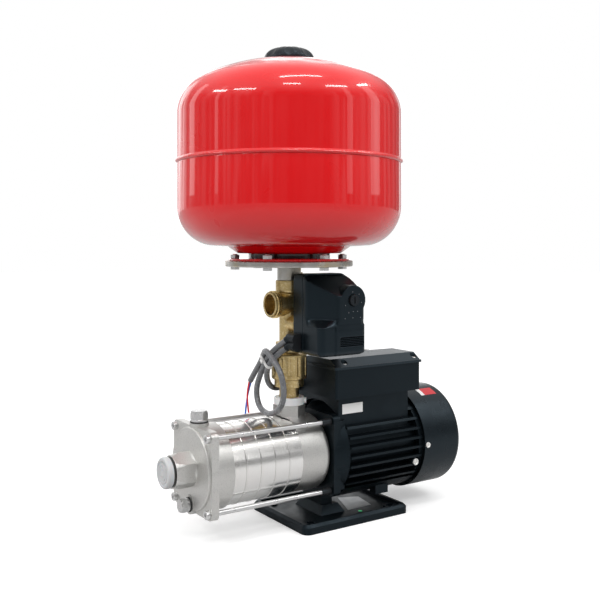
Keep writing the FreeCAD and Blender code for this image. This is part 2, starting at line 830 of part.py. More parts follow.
def shaft_bearings():
    front = tube_x("front_bearing", "bearing_r", "shaft_r + run_gap", "bearing_len",
                   "motor_front_x - bearing_len")
    rear = tube_x("rear_bearing", "bearing_r", "shaft_r + run_gap", "bearing_len",
                  "motor_front_x + motor_len - 1.5")
    node("shaft_bearings", group([front, rear]))


def stator_middle():
    return "motor_front_x + motor_len / 2"


def rotor_core():
    x = "%s - rotor_len / 2" % stator_middle()
    node("rotor_core", tube_x("rotor_core", "rotor_r", "shaft_r + seat_gap / 4", "rotor_len", x))


def stator_core():
    x = "%s - stator_len / 2" % stator_middle()
    node("stator_core", tube_x("stator_core", "motor_bore_r - seat_gap", "stator_bore_r", "stator_len", x))


def stator_windings():
    rings = []
    for sign in (-1, 1):
        x = "%s + %d * (stator_len / 2 + seat_gap)" % (stator_middle(), sign)
        if sign < 0:
            x += " - winding_len"
        bend = "winding_len / 3"
        inner, outer = "stator_bore_r + 2", "winding_r"
        points = [
            ("0", inner), ("winding_len", inner), ("winding_len", "%s - %s" % (outer, bend), bend, 1),
            ("winding_len - %s" % bend, outer), (bend, outer, bend, 1), ("0", "%s - %s" % (outer, bend)),
        ]
        rings.append(turned("winding", "X", points, x, "0", "shaft_z"))
    node("stator_windings", group(rings))


def cooling_fan():
    x = "motor_front_x + motor_len + bearing_len + fan_gap"
    hub = tube_x("fan_hub", "fan_hub_r", "fan_shaft_r + seat_gap / 4", "fan_len", x)
    disc = tube_x("fan_disc", "fan_r * 0.6", "fan_hub_r - 1", "fan_wall", x)
    blades = []
    for number in range(FAN_BLADES):
        angle = 360 * number / FAN_BLADES
        across, up = "cos(%g deg)" % angle, "sin(%g deg)" % angle
        y = "(fan_hub_r - 1) * %s + fan_wall / 2 * %s" % (across, up)
        z = "shaft_z + (fan_hub_r - 1) * %s - fan_wall / 2 * %s" % (up, across)
        blades.append(block("fan_len", "fan_r - fan_hub_r", "fan_wall", x, y, z, ((1, 0, 0), angle)))
    node("cooling_fan", joined(hub, disc, *blades))


def impellers():
    """Five closed impellers: a hub, two discs and backward curved vanes, one in each stage."""
    wheels = []
    for stage in range(STAGES):
        x = "casing_front_x - stage_pitch * %d" % (STAGES - stage)
        wheels.append(impeller(x))
    node("impellers", group(wheels))


def impeller(x):
    front = x + " + stage_wall + 3"
    hub = tube_x("impeller_hub", "impeller_hub_r", "pump_shaft_r + seat_gap / 4", "stage_pitch - seat_gap", x)
    shroud = tube_x("impeller_shroud", "impeller_r", "impeller_eye_r", "impeller_wall", front)
    back = tube_x("impeller_back", "impeller_r", "impeller_hub_r - 1", "impeller_wall",
                  front + " + impeller_wall + impeller_channel")
    vanes = []
    for number in range(IMPELLER_VANES):
        vanes.append(impeller_vane(front, 360 * number / IMPELLER_VANES))
    return joined(hub, shroud, back, *vanes)


def impeller_vane(x, angle):
    """A thin crescent between two arcs, turned about the shaft."""
    body = new_body("vane")
    outline = [
        ("impeller_eye_r", "0", "impeller_r * 0.62", 1), ("impeller_r * 0.55", "impeller_r * 0.81"),
        ("impeller_r * 0.51", "impeller_r * 0.84", "impeller_r * 0.68", -1), ("impeller_eye_r - 2", "0.4"),
    ]
    grow(body, "Pad", "YZ_Plane", outline, "impeller_channel + impeller_wall * 1.5")
    return place(body, x + " + impeller_wall / 2", "0", "shaft_z", ((1, 0, 0), angle))


def shaft_seal():
    gap = "pump_shaft_r + seat_gap / 4"
    ring_x = "lantern_x - casing_wall - seal_len - 0.3"
    node("seal_ring", tube_x("seal_ring", "seal_r", gap, "seal_len", ring_x))
    seat_x = "lantern_x - casing_wall"
    node("seal_seat", tube_x("seal_seat", "seal_r", "pump_shaft_r + 1", "casing_wall", seat_x))


# Terminal box on top of the motor

def terminal_box():
    body = new_body("terminal_box")
    half = "box_wid / 2"
    plan = round_box("box_front_x", "(box_front_x + box_len)", "-" + half, half, "box_corner")
    grow(body, "Pad", "XY_Plane", plan, "box_high_z - box_low_z", "box_low_z")
    wall = "box_wall"
    room = round_box("(box_front_x + %s)" % wall, "(box_front_x + box_len - %s)" % wall,
                     "(-%s + %s)" % (half, wall), "(%s - %s)" % (half, wall), "box_corner / 2")
    grow(body, "Pocket", "XY_Plane", room, "box_high_z - box_low_z - box_wall", "box_high_z")
    posts = [
        rod("lid_post_r", "box_high_z - box_low_z", x, y, "box_low_z")
        for x, y in lid_screw_places()
    ]
    holes = [
        rod("lid_screw_r / 2 + seat_gap", "lid_screw_len + 1", x, y, "box_high_z - lid_screw_len")
        for x, y in lid_screw_places()
    ]
    entry = rod("lead_gland_r / 2 + seat_gap", "box_wall * 2 + 2", "box_front_x - 1", "lead_gland_y",
                "lead_gland_z", ALONG_X)
    node("terminal_box", without(joined(body, *posts), entry, *holes))


def lid_screw_places():
    front, rear = "box_front_x + lid_screw_in_front", "box_front_x + box_len - lid_screw_in_rear"
    return [(x, side + "(box_wid / 2 - lid_screw_in_y)") for x in (front, rear) for side in ("", "-")]


def lid_side(first_y, last_y, sunk):
    """The lid's cross profile: a short front slope, a flat and a long rear slope, sunk by a wall."""
    low, high = "(box_high_z + lid_lip)", "(box_high_z + lid_height)"
    flat_y, ridge_y = "(-box_wid / 2 + lid_front_run)", "(-box_wid / 2 + lid_front_run + lid_flat_wid)"
    fall = "(lid_height - lid_lip) / (box_wid - lid_front_run - lid_flat_wid)"
    if sunk == "0":
        top = [(ridge_y, high), (flat_y, high), (first_y, low)]
    else:
        top = [(ridge_y, "%s - %s" % (high, sunk)), (first_y, "%s - %s" % (high, sunk))]
    rear = "%s - (%s - %s) * %s - %s" % (high, last_y, ridge_y, fall, sunk)
    foot = low if sunk == "0" else "box_high_z"
    return [(first_y, foot + " - 1"), (last_y, foot + " - 1"), (last_y, rear), *top]


def terminal_box_lid():
    """A flat lip that hangs over the box, a crown with a long slope to the rear, and a room below."""
    lip = new_body("lid_lip")
    half, over = "(box_wid / 2 + lid_overhang)", "lid_overhang"
    plan = round_box("(box_front_x - %s)" % over, "(box_front_x + box_len + %s)" % over, "-" + half, half,
                     "box_corner")
    grow(lip, "Pad", "XY_Plane", plan, "lid_lip", "box_high_z")
    crown, room = new_body("lid_crown"), new_body("lid_room")
    side = "box_wid / 2"
    grow(crown, "Pad", "YZ_Plane", lid_side("(-%s)" % side, "(%s)" % side, "0"), "box_len", "box_front_x")
    edge = "(%s - lid_room_in)" % side
    grow(room, "Pad", "YZ_Plane", lid_side("(-%s)" % edge, edge, "box_wall"), "box_len - lid_room_in * 2",
         "box_front_x + lid_room_in")
    seats = [
        rod("lid_screw_r + 1", "lid_height", x, y, "box_high_z + lid_lip + seat_gap") for x,
        y in lid_screw_places()
    ]
    holes = [
        rod("lid_screw_r / 2 + seat_gap", "lid_height", x, y, "box_high_z - 1") for x, y in lid_screw_places()
    ]
    node("terminal_box_lid", without(joined(lip, crown), room, *seats, *holes))


def loft_between(name, low_points, low_z, high_points, high_z):
    body = new_body(name)
    low = new_sketch(body, "XY_Plane", low_z)
    draw(low, low_points)
    high = new_sketch(body, "XY_Plane", high_z)
    draw(high, high_points)
    loft = body.newObject("PartDesign::AdditiveLoft", "loft")
    loft.Profile = (low, [""])
    loft.Sections = [(high, [""])]
    loft.Ruled = True
    return body


def lid_screws():
    screws = []
    for x, y in lid_screw_places():
        head = rod("lid_screw_r", "lid_screw_height", x, y, "box_high_z + lid_lip + seat_gap * 2")
        shank = rod("lid_screw_r / 2", "lid_screw_len", x, y, "box_high_z + lid_lip + 1 - lid_screw_len")
        screws.append(joined(head, shank))
    node("lid_screws", group(screws))


def capacitor():
    x = "box_front_x + (box_len - capacitor_len) / 2"
    z = "box_low_z + box_wall + capacitor_r + seat_gap"
    can = rod("capacitor_r", "capacitor_len", x, "capacitor_r + 4", z, ALONG_X)
    tags = block("7", "16", "2", x + " - 6", "capacitor_r - 4", z + " - 1")
    node("capacitor", joined(can, tags))


def terminal_block():
    x = "box_front_x + (box_len - terminal_len) / 2"
    y = "-box_wid / 4 - terminal_wid / 2"
    low = block("terminal_len", "terminal_wid", "terminal_height", x, y, "box_low_z + box_wall")
    ways = [
        block("terminal_len / 12", "terminal_wid + 2", "terminal_height / 2",
              "%s + terminal_len * %d / 6 - terminal_len / 24" % (x, way), y + " - 1",
              "box_low_z + box_wall + terminal_height / 2 + 1")
        for way in range(1, 6)
    ]
    node("terminal_block", without(low, *ways))


def lead_gland():
    nut = hexagon("lead_gland_r * 2", "lead_gland_len / 2", "box_front_x", "lead_gland_y", "lead_gland_z",
                  ALONG_MINUS_X)
    dome = cone("lead_gland_r * 0.9", "cable_r + 1.2", "lead_gland_len / 2",
                "box_front_x - lead_gland_len / 2",
                "lead_gland_y", "lead_gland_z", ALONG_MINUS_X)
    thread = rod("lead_gland_r / 2", "box_wall + 2", "box_front_x", "lead_gland_y", "lead_gland_z", ALONG_X)
    node("lead_gland", joined(nut, dome, thread))


# Pump: outlet casing, five stage chambers, front cover, plugs and tie bolts

def outlet_casing():
    length = "lantern_x - casing_front_x"
    outer, bend = "casing_r", "casing_round"
    inner = "(casing_r - casing_wall)"
    points = [
        ("0", inner), ("0", outer), ("%s - %s" % (length, bend), outer, bend, -1),
        (length, "%s - %s" % (outer, bend)), (length, "seal_r + seat_gap"),
        ("%s - casing_wall" % length, "seal_r + seat_gap"),
        ("%s - casing_wall" % length, "%s - %s" % (outer, bend), "(%s - casing_wall)" % bend, 1),
        ("%s - %s" % (length, bend), inner),
    ]
    drum = turned("casing_drum", "X", points, "casing_front_x", "0", "shaft_z")
    boss = hexagon("boss_af", "boss_top_z - shaft_z", "outlet_x", "0", "shaft_z", HALF_HEX)
    skirt = cone("boss_skirt_r + 4.5", "boss_af / 2", "boss_skirt_z - shaft_z - casing_r * 0.8", "outlet_x",
                 "0",
                 "shaft_z + casing_r * 0.8")
    inside = rod("casing_r - casing_wall", length, "casing_front_x", "0", "shaft_z", ALONG_X)
    stage_room = rod("casing_r + stage_ring + 0.3", "stage_pitch * 2", "casing_front_x - stage_pitch * 2",
                     "0", "shaft_z",
                     ALONG_X)
    bore = rod("valve_neck_r + seat_gap * 3", "boss_top_z - shaft_z", "outlet_x", "0", "shaft_z + 1")
    top = without(joined(boss, skirt), inside, stage_room)
    node("outlet_casing", without(joined(drum, top), bore))


def stage_chambers():
    """Five polished cups, each with a raised ring at its mouth and a floor with an eye."""
    cups = []
    for stage in range(STAGES):
        x = "casing_front_x - stage_pitch * %d" % (STAGES - stage)
        outer, inner, length, wall = "casing_r", "casing_r - stage_wall", "stage_pitch", "stage_wall"
        ring = "casing_r + stage_ring"
        points = [
            ("0", inner), ("0", ring), ("stage_ring_len", ring), ("stage_ring_len", outer), (length, outer),
            (length, "stage_eye_r"), ("%s - %s" % (length, wall), "stage_eye_r"),
            ("%s - %s" % (length, wall), inner),
        ]
        cups.append(turned("stage", "X", points, x, "0", "shaft_z"))
    node("stage_chambers", group(cups))


def cover_front_x():
    return "(casing_front_x - stage_pitch * %d + cover_skirt - cover_len)" % STAGES


def front_cover():
    """Cast cover: a lobed square plate, a round face, an inlet hexagon, a drum and two plug bosses."""
    front = cover_front_x()
    plate = new_body("cover_plate")
    half = "cover_plate_half"
    grow(plate, "Pad", "YZ_Plane", round_box("-" + half, half, "-" + half, half, "lobe_r"), "cover_plate_len")
    place(plate, front + " + cover_face_len", "0", "shaft_z")
    length = "cover_len"
    drum_points = [
        ("0", "inlet_bore_r"), ("0", "cover_face_r - 2", "2", -1), ("2", "cover_face_r"),
        ("cover_face_len", "cover_face_r"), ("cover_face_len", "cover_r"), (length, "cover_r"),
        (length, "inlet_bore_r"),
    ]
    drum = turned("cover_drum", "X", drum_points, front, "0", "shaft_z")
    neck = cone("inlet_neck_r", "inlet_af / 2", "inlet_neck_len", front, "0", "shaft_z", ALONG_MINUS_X)
    flats = hexagon("inlet_af", "inlet_hex_len + inlet_neck_len", front, "0", "shaft_z", ALONG_MINUS_X)
    bevel = cone("inlet_af / 2 * 1.3", "inlet_af / 2 * 1.02", "inlet_hex_len + inlet_neck_len", front, "0",
                 "shaft_z",
                 ALONG_MINUS_X)
    inlet = joined(neck, shared(flats, bevel))
    priming_x = front + " + priming_back"
    top_boss = rod("priming_boss_r", "cover_r + priming_boss_height", priming_x, "0", "shaft_z")
    drain_z = "shaft_z - drain_drop"
    drain_boss = rod("drain_boss_r", "drain_boss_len + cover_plate_len",
                     front + " + cover_face_len + cover_plate_len", "0",
                     drain_z, ALONG_MINUS_X)
    room = rod("cover_bore_r", "cover_len - cover_face_len * 2", front + " + cover_face_len * 2", "0",
               "shaft_z", ALONG_X)
    stage_seat = rod("casing_r + stage_ring + seat_gap", "cover_skirt + stage_pitch",
                     front + " + cover_len - cover_skirt",
                     "0", "shaft_z", ALONG_X)
    bore = rod("inlet_bore_r", "cover_len + inlet_hex_len + inlet_neck_len + 2",
               front + " - inlet_hex_len - inlet_neck_len - 1",
               "0", "shaft_z", ALONG_X)
    plug_holes = [
        rod("plug_shank_r + seat_gap", "cover_r + priming_boss_height - cover_bore_r + 15", priming_x, "0",
            "shaft_z + cover_bore_r - 10"),
        rod("drain_scale * plug_shank_r + seat_gap", "drain_boss_len + 16", front + " + 14", "0", drain_z,
            ALONG_MINUS_X),
    ]
    tie_holes = [
        rod("tie_rod_r + seat_gap", "cover_plate_len + 2", front + " + cover_face_len - 1", y,
            "shaft_z + " + z, ALONG_X)
        for y, z in four_corners("tie_gap", "tie_gap")
    ]
    solid = joined(plate, drum, inlet, top_boss, drain_boss)
    node("front_cover", without(solid, room, stage_seat, bore, *plug_holes, *tie_holes))


def inlet_cap():
    """Push-in plastic cap: a rounded disc and a hollow plug with a lip that grips the thread."""
    end = cover_front_x() + " - inlet_neck_len - inlet_hex_len"
    face = "(cap_disc_len + cap_seal_len)"
    points = [
        ("-" + face, "0"), ("-" + face, "cap_r - 2.5", "2.5", -1), ("-%s + 2.5" % face, "cap_r"),
        ("-cap_seal_len", "cap_r"), ("-cap_seal_len", "cap_plug_r - seat_gap"),
        ("cap_plug_len - 2", "cap_plug_r - seat_gap"), ("cap_plug_len", "cap_plug_r - 2"),
        ("cap_plug_len", "cap_plug_r - 2 - cap_wall"), ("0", "cap_plug_r - 2 - cap_wall"), ("0", "0"),
    ]
    node("inlet_cap", turned("inlet_cap", "X", points, end, "0", "shaft_z"))
    ring = tube_x("cap_seal", "cap_seal_r", "cap_plug_r", "cap_seal_len - 0.3", end + " - cap_seal_len")
    node("inlet_cap_seal", ring)


def plug_shape(name, scale):
    """A hexagon head plug that stands on +Z, its washer under the collar."""
    collar = "plug_collar_r * " + scale
    seat, shank = "washer_len", "plug_shank_r * " + scale
    points = [
        ("0", "-plug_shank_len * %s" % scale), (shank, "-plug_shank_len * %s" % scale), (shank, seat),
        (collar, seat),
        (collar, "%s + plug_collar_len - 0.5" % seat), ("%s - 0.5" % collar, "%s + plug_collar_len" % seat),
        ("0", "%s + plug_collar_len" % seat),
    ]
    stem = turned(name, "Z", points)
    height = "plug_hex_len * " + scale
    flats = hexagon("plug_af * " + scale, height, "0", "0", seat + " + plug_collar_len", HALF_HEX)
    bevel = cone("plug_af * %s * 0.72" % scale, "plug_af * %s * 0.5" % scale, height, "0", "0",
                 seat + " + plug_collar_len")
    return joined(stem, shared(flats, bevel))


def washer_shape(name, scale):
    inner, outer = "plug_shank_r * %s + seat_gap" % scale, "washer_r * " + scale
    points = [(inner, "0"), (outer, "0"), (outer, "washer_len - 0.05"), (inner, "washer_len - 0.05")]
    return turned(name, "Z", points)


def plugs():
    x, z = cover_front_x() + " + priming_back", "shaft_z + cover_r + priming_boss_height"
    node("priming_plug", place(plug_shape("priming_plug", "1"), x, "0", z))
    node("priming_washer", place(washer_shape("priming_washer", "1"), x, "0", z))
    x, z = cover_front_x() + " + cover_face_len - drain_boss_len", "shaft_z - drain_drop"
    node("drain_plug", place(plug_shape("drain_plug", "drain_scale"), x, "0", z, ALONG_MINUS_X))
    node("drain_washer", place(washer_shape("drain_washer", "drain_scale"), x, "0", z, ALONG_MINUS_X))


def tie_bolts():
    """Four socket head bolts that hold the stages between the cover and the bracket."""
    start = cover_front_x() + " + cover_face_len"
    bolts, nuts = [], []
    for y, z in four_corners("tie_gap", "tie_gap"):
        up = "shaft_z + " + z
        shank_len = "lantern_x + tie_grip - (%s)" % start
        shank = rod("tie_rod_r", shank_len, start, y, up, ALONG_X)
        head = rod("tie_head_r", "tie_head_len", start + " - tie_head_len", y, up, ALONG_X)
        recess = hexagon("tie_recess_r * 2", "tie_recess_len", start + " - tie_head_len + tie_recess_len", y,
                         up, ALONG_MINUS_X)
        bolts.append(without(joined(shank, head), recess))
        sleeve = rod("tie_nut_r", "lantern_x - tie_bright_end_x", "tie_bright_end_x", y, up, ALONG_X)
        bore = rod("tie_rod_r + seat_gap / 4", "lantern_x - tie_bright_end_x + 2", "tie_bright_end_x - 1", y,
                   up, ALONG_X)
        nuts.append(without(sleeve, bore))
    node("tie_bolts", group(bolts))
    node("tie_bolt_sleeves", group(nuts))


# Outlet column: collar, check valve, manifold with its side port, nipple and counterflange

def outlet_collar():
    points = [
        ("valve_neck_r + seat_gap", "0"), ("collar_r - 1", "0", "1", 1), ("collar_r", "1"),
        ("collar_r", "collar_len - 1", "1", 1), ("collar_r - 1", "collar_len"),
        ("valve_neck_r + seat_gap", "collar_len"),
    ]
    ring = turned("outlet_collar", "Z", points, "outlet_x", "0", "boss_top_z")
    nub = rod("collar_nub_r", "6", "outlet_x + collar_r * cos(34 deg) - 3", "-collar_r * sin(34 deg) + 2",
              "boss_top_z + collar_len / 2", ((0.559, 0.829, 0), 90))
    node("outlet_collar", joined(ring, nub))


def check_valve_body():
    z0 = "(boss_top_z + collar_len)"
    step = z0 + " + valve_neck_len"
    low = step + " + valve_step_len"
    high = "(%s + valve_len)" % low
    room_z = "(%s + 4)" % low
    points = [
        ("valve_bore_r", "boss_top_z - valve_spigot"), ("valve_neck_r", "boss_top_z - valve_spigot"),
        ("valve_neck_r", step), ("valve_step_r", step), ("valve_step_r", low),
        ("valve_r - valve_round", low, "valve_round", 1),
        ("valve_r", low + " + valve_round"), ("valve_r", high + " - valve_round", "valve_round", 1),
        ("valve_r - valve_round", high), ("manifold_r + seat_gap", high),
        ("manifold_r + seat_gap", high + " - 5"),
        ("valve_room_r", high + " - 5"), ("valve_room_r", room_z), ("valve_bore_r", room_z),
    ]
    shell = turned("check_valve_body", "Z", points, "outlet_x", "0", "0")
    flutes = [
        rod("flute_r", "valve_len - valve_round * 4", "outlet_x + " + x, y, low + " + valve_round * 2")
        for x, y in around("valve_r + flute_r * 0.62", VALVE_FLUTES)
    ]
    node("check_valve_body", without(shell, *flutes))


def valve_seat_z():
    return "(boss_top_z + collar_len + valve_neck_len + valve_step_len + 4)"


def check_valve_poppet():
    disc = rod("poppet_r", "poppet_len", "outlet_x", "0", valve_seat_z() + " + 0.3")
    stem = rod("poppet_stem_r", "poppet_len + 8", "outlet_x", "0", valve_seat_z() + " + 0.3")
    nose = cone("valve_bore_r - 2", "valve_bore_r - 0.5", "3", "outlet_x", "0", valve_seat_z() + " - 2.7")
    node("check_valve_poppet", joined(disc, stem, nose))


def spring_top_z():
    return "(boss_top_z + collar_len + valve_neck_len + valve_step_len + valve_len - 5)"


def check_valve_spring():
    low = valve_seat_z() + " + 0.3 + poppet_len + spring_wire_r + 0.1"
    height = "(%s) - (%s) - spring_wire_r - 0.1" % (spring_top_z(), low)
    path = doc.addObject("Part::Helix", "spring_path")
    bind(path, Pitch="(%s) / %d" % (height, SPRING_TURNS), Height=height, Radius="spring_r")
    wire = place(bind(doc.addObject("Part::Circle", "wire"), Radius="spring_wire_r"), "spring_r", "0", "0",
                 ALONG_MINUS_Y)
    coil = doc.addObject("Part::Sweep", "spring_coil")
    doc.recompute()
    coil.Sections = [wire]
    coil.Spine = (path, ["Edge1"])
    coil.Solid = True
    coil.Frenet = True
    node("check_valve_spring", place(coil, "outlet_x", "0", low))


def brass_manifold():
    low = spring_top_z() + " + 0.3"
    head = "manifold_top_z - manifold_head_len"
    collar_top = "manifold_collar_z + manifold_collar_len"
    points = [
        ("0", low), ("manifold_r", low), ("manifold_r", "manifold_collar_z"),
        ("manifold_collar_r", "manifold_collar_z"), ("manifold_collar_r", collar_top),
        ("manifold_r", collar_top),
        ("manifold_r", head + " - 3"), ("manifold_collar_r", head), ("manifold_collar_r", "manifold_top_z"),
        ("0", "manifold_top_z"),
    ]
    tube = turned("manifold_tube", "Z", points, "outlet_x", "0", "0")
    reach = "side_port_reach"
    port_points = [
        ("0", "0"), (reach, "0"), (reach, "side_port_r - 1"), (reach + " - 1", "side_port_r"),
        (reach + " - side_port_thread", "side_port_r"), (reach + " - side_port_thread", "side_port_r - 2"),
        ("0", "side_port_r - 2"),
    ]
    port = turned("side_port", "X", port_points, "outlet_x", "0", "side_port_z", ((0, 0, 1), 180))
    arm = rod("controller_neck_r", "-control_y - seat_gap", "outlet_x", "0", "control_neck_z", ALONG_MINUS_Y)
    ear = rod("gauge_plug_r + 2.5", "manifold_head_len - 2", "outlet_x + plug_ear_x", "plug_ear_y",
              "manifold_top_z - manifold_head_len")
    web = block("plug_ear_x", "gauge_plug_r * 2", "manifold_head_len - 4", "outlet_x",
                "plug_ear_y - gauge_plug_r * 2", "manifold_top_z - manifold_head_len + 1")
    bore = rod("manifold_bore_r", "manifold_top_z - manifold_collar_z + 20", "outlet_x", "0",
               "manifold_collar_z - 20")
    side_bore = rod("side_port_bore_r", reach, "outlet_x - manifold_bore_r", "0", "side_port_z",
                    ALONG_MINUS_X)
    arm_bore = rod("controller_neck_r - 4", "-control_y", "outlet_x", "0", "control_neck_z", ALONG_MINUS_Y)
    ear_bore = rod("gauge_plug_r - 1 + seat_gap", "manifold_head_len - 2", "outlet_x + plug_ear_x",
                   "plug_ear_y",
                   "manifold_top_z - manifold_head_len + 4")
    spigot = rod("nipple_r - 3 + seat_gap", "nipple_spigot + 1", "outlet_x", "0",
                 "manifold_top_z - nipple_spigot")
    node("brass_manifold", without(joined(tube, port, arm, ear, web), bore, side_bore, arm_bore, ear_bore,
                                   spigot))


def gauge_plug():
    seat = "manifold_top_z - 2"
    points = [
        ("0", seat + " - 7"), ("gauge_plug_r - 1", seat + " - 7"), ("gauge_plug_r - 1", seat),
        ("gauge_plug_r", seat),
        ("gauge_plug_r", "gauge_plug_top_z"), ("0", "gauge_plug_top_z"),
    ]
    node("gauge_plug", turned("gauge_plug", "Z", points, "outlet_x + plug_ear_x", "plug_ear_y", "0"))


def tank_nipple():
    spigot = "manifold_top_z - nipple_spigot + 0.3"
    points = [
        ("nipple_bore_r", spigot), ("nipple_r - 3", spigot), ("nipple_r - 3", "manifold_top_z"),
        ("nipple_r", "manifold_top_z"), ("nipple_r", "flange_low_z"), ("nipple_bore_r", "flange_low_z"),
    ]
    node("tank_nipple", turned("tank_nipple", "Z", points, "outlet_x", "0", "0"))


def flange_bolt_places():
    return [("outlet_x + " + x, y) for x, y in around("flange_bolt_circle_r", FLANGE_BOLTS, "flange_turn")]


def counterflange():
    high = "flange_low_z + flange_len"
    points = [
        ("nipple_bore_r", "flange_low_z"), ("flange_r - 1.5", "flange_low_z", "1.5", 1),
        ("flange_r", "flange_low_z + 1.5"),
        ("flange_r", high + " - 1.5", "1.5", 1), ("flange_r - 1.5", high), ("nipple_bore_r", high),
    ]
    plate = turned("counterflange", "Z", points, "outlet_x", "0", "0")
    holes = [rod("flange_bolt_r + seat_gap", "flange_len + 2", x, y, "flange_low_z - 1") for x,
             y in flange_bolt_places()]
    node("counterflange", without(plate, *holes))


def flange_bolts():
    """Six hexagon bolts below the flange, each with its nut above the tank's own flange."""
    top = "flange_low_z + flange_len + tank_skin_len"
    things = []
    for x, y in flange_bolt_places():
        head = hexagon("flange_head_r * 2 * cos(30 deg)", "flange_head_len", x, y,
                       "flange_low_z - flange_head_len")
        grip = "flange_head_len + flange_len + tank_skin_len + flange_nut_len"
        shank = rod("flange_bolt_r", grip + " + flange_bolt_proud", x, y, "flange_low_z - flange_head_len")
        nut = hexagon("flange_head_r * 2 * cos(30 deg)", "flange_nut_len", x, y, top)
        things.append(joined(head, shank, nut))
    node("flange_bolts", group(things))


# Tank: two pressed shells welded at the seam, the bladder, the air valve and its cap

def shell_bottom_outline(inset):
    """The outside of the lower shell from its shoulder to its knuckle, moved inwards by a wall."""
    centre_r = "(tank_r - tank_bottom_knuckle_r)"
    bend = "(tank_bottom_knuckle_r - %s)" % inset
    low = "tank_low_z - %s * sin(78 deg)" % bend
    return [("%s + %s * cos(78 deg)" % (centre_r, bend), low, bend, 1), ("tank_r - " + inset, "tank_low_z")]


def tank_lower_shell():
    base = "(flange_low_z + flange_len)"
    shoulder = "(tank_neck_z + tank_shoulder_len)"
    outer = shell_bottom_outline("0")
    inner = shell_bottom_outline("tank_wall")
    points = [
        ("nipple_bore_r + 6", base), ("flange_r - 4.5", base), ("flange_r - 4.5", base + " + tank_skin_len"),
        ("tank_neck_r", base + " + tank_skin_len"), ("tank_neck_r", "tank_neck_z"),
        ("tank_skirt_r", "tank_neck_z"),
        ("tank_shoulder_r", shoulder), *outer, ("tank_r", "tank_seam_z"),
        ("tank_r - tank_wall", "tank_seam_z"),
    ]
    back = [
        (inner[1][0], inner[1][1], inner[0][2], -1), (inner[0][0], inner[0][1]),
        ("tank_shoulder_r - tank_wall", shoulder + " + tank_wall"),
        ("tank_skirt_r - tank_wall", "tank_neck_z + tank_wall"),
        ("tank_neck_r - tank_wall", "tank_neck_z + tank_wall"),
        ("tank_neck_r - tank_wall", base + " + tank_skin_len"),
        ("nipple_bore_r + 6", base + " + tank_skin_len"),
    ]
    shell = turned("tank_lower_shell", "Z", points + back, "outlet_x", "0", "0")
    holes = [rod("flange_bolt_r + seat_gap", "tank_skin_len + 2", x, y, base + " - 1") for x,
             y in flange_bolt_places()]
    node("tank_lower_shell", without(shell, *holes))


def tank_upper_shell():
    """The upper shell with the raised weld bead round its lower edge, its knuckle tangent to its dome."""
    r, wall, bead = "tank_r", "tank_wall", "seam_r"
    rim = "tank_r - tank_knuckle_r + %s * dome_rim_sin"
    crown = "tank_high_z + %s * dome_rim_cos"
    bend, inner_bend = "tank_knuckle_r", "(tank_knuckle_r - tank_wall)"
    valve_hole, inside_z = "air_valve_r + seat_gap", "tank_top_z - " + wall
    points = [
        ("tank_r - tank_wall", "tank_seam_z"), (r, "tank_seam_z"),
        (r + " + %s * 0.8" % bead, "tank_seam_z + %s * 0.6" % bead, bead, 1),
        (r, "tank_seam_z + %s * 2" % bead),
        (r, "tank_high_z", bend, 1), (rim % bend, crown % bend, "tank_dome_r", 1),
        ("air_valve_r * 2", "tank_top_z"), (valve_hole, "tank_top_z"),
        (valve_hole, inside_z), ("air_valve_r * 2", inside_z, "(tank_dome_r - tank_wall)", -1),
        (rim % inner_bend, crown % inner_bend, inner_bend, -1), ("tank_r - tank_wall", "tank_high_z"),
    ]
    node("tank_upper_shell", turned("tank_upper_shell", "Z", points, "outlet_x", "0", "0"))


def tank_bladder():
    """The rubber bag that holds the water, drawn full and clear of the steel."""
    gap = "(tank_wall + bladder_gap)"
    r, neck = "(tank_r - %s)" % gap, "(tank_neck_r - %s)" % gap
    low_bend, high_bend = "(tank_bottom_knuckle_r - %s)" % gap, "(tank_knuckle_r - %s)" % gap
    base = "(flange_low_z + flange_len + tank_skin_len + 0.3)"
    low_r = "tank_r - tank_bottom_knuckle_r + %s * cos(78 deg)" % low_bend
    points = [
        ("0", base), (neck, base), (neck, "tank_neck_z + tank_shoulder_len + bladder_gap + 2"),
        (low_r, "tank_low_z - %s * sin(78 deg)" % low_bend, low_bend, 1), (r, "tank_low_z"),
        (r, "tank_high_z", high_bend, 1), ("tank_r - tank_knuckle_r", "tank_high_z + " + high_bend),
        ("0", "tank_high_z + " + high_bend),
    ]
    node("tank_bladder", turned("tank_bladder", "Z", points, "outlet_x", "0", "0"))


def air_valve():
    low = "tank_top_z - tank_wall - 1"
    points = [
        ("0", low), ("air_valve_r", low), ("air_valve_r", "tank_top_z + air_valve_len - 3"),
        ("air_valve_r - 1", "tank_top_z + air_valve_len - 3"),
        ("air_valve_r - 1", "tank_top_z + air_valve_len"),
        ("0", "tank_top_z + air_valve_len"),
    ]
    node("air_valve", turned("air_valve", "Z", points, "outlet_x", "0", "0"))


def air_valve_cap():
    """A domed plastic cap with a dished middle, hollow over the air valve. Its rim follows the dome."""
    rim = "(tank_top_z - air_cap_r ^ 2 / (2 * tank_dome_r) + seat_gap * 1.5)"
    high = "(tank_top_z + air_cap_len)"
    room_r, room_z = "air_valve_r + 3", "tank_top_z + air_valve_len + 1"
    points = [
        (room_r, "tank_top_z + seat_gap * 2.5"), ("air_cap_r", rim),
        ("air_cap_r", rim + " + 3", "air_cap_r * 1.3", 1),
        ("air_cap_dish_r", high, "air_cap_dish_r * 4", -1), ("0", high + " - 2.2"), ("0", room_z),
        (room_r, room_z),
    ]
    node("air_valve_cap", turned("air_valve_cap", "Z", points, "outlet_x", "0", "0"))


# Controller: back housing, cover with a sloped top and a dial boss, dial and inner parts

def control_left():
    return "(outlet_x + control_x)"


def control_right():
    return "(outlet_x + control_x + control_len)"


def front_y():
    return "(control_y - control_back_len - control_cover_len)"


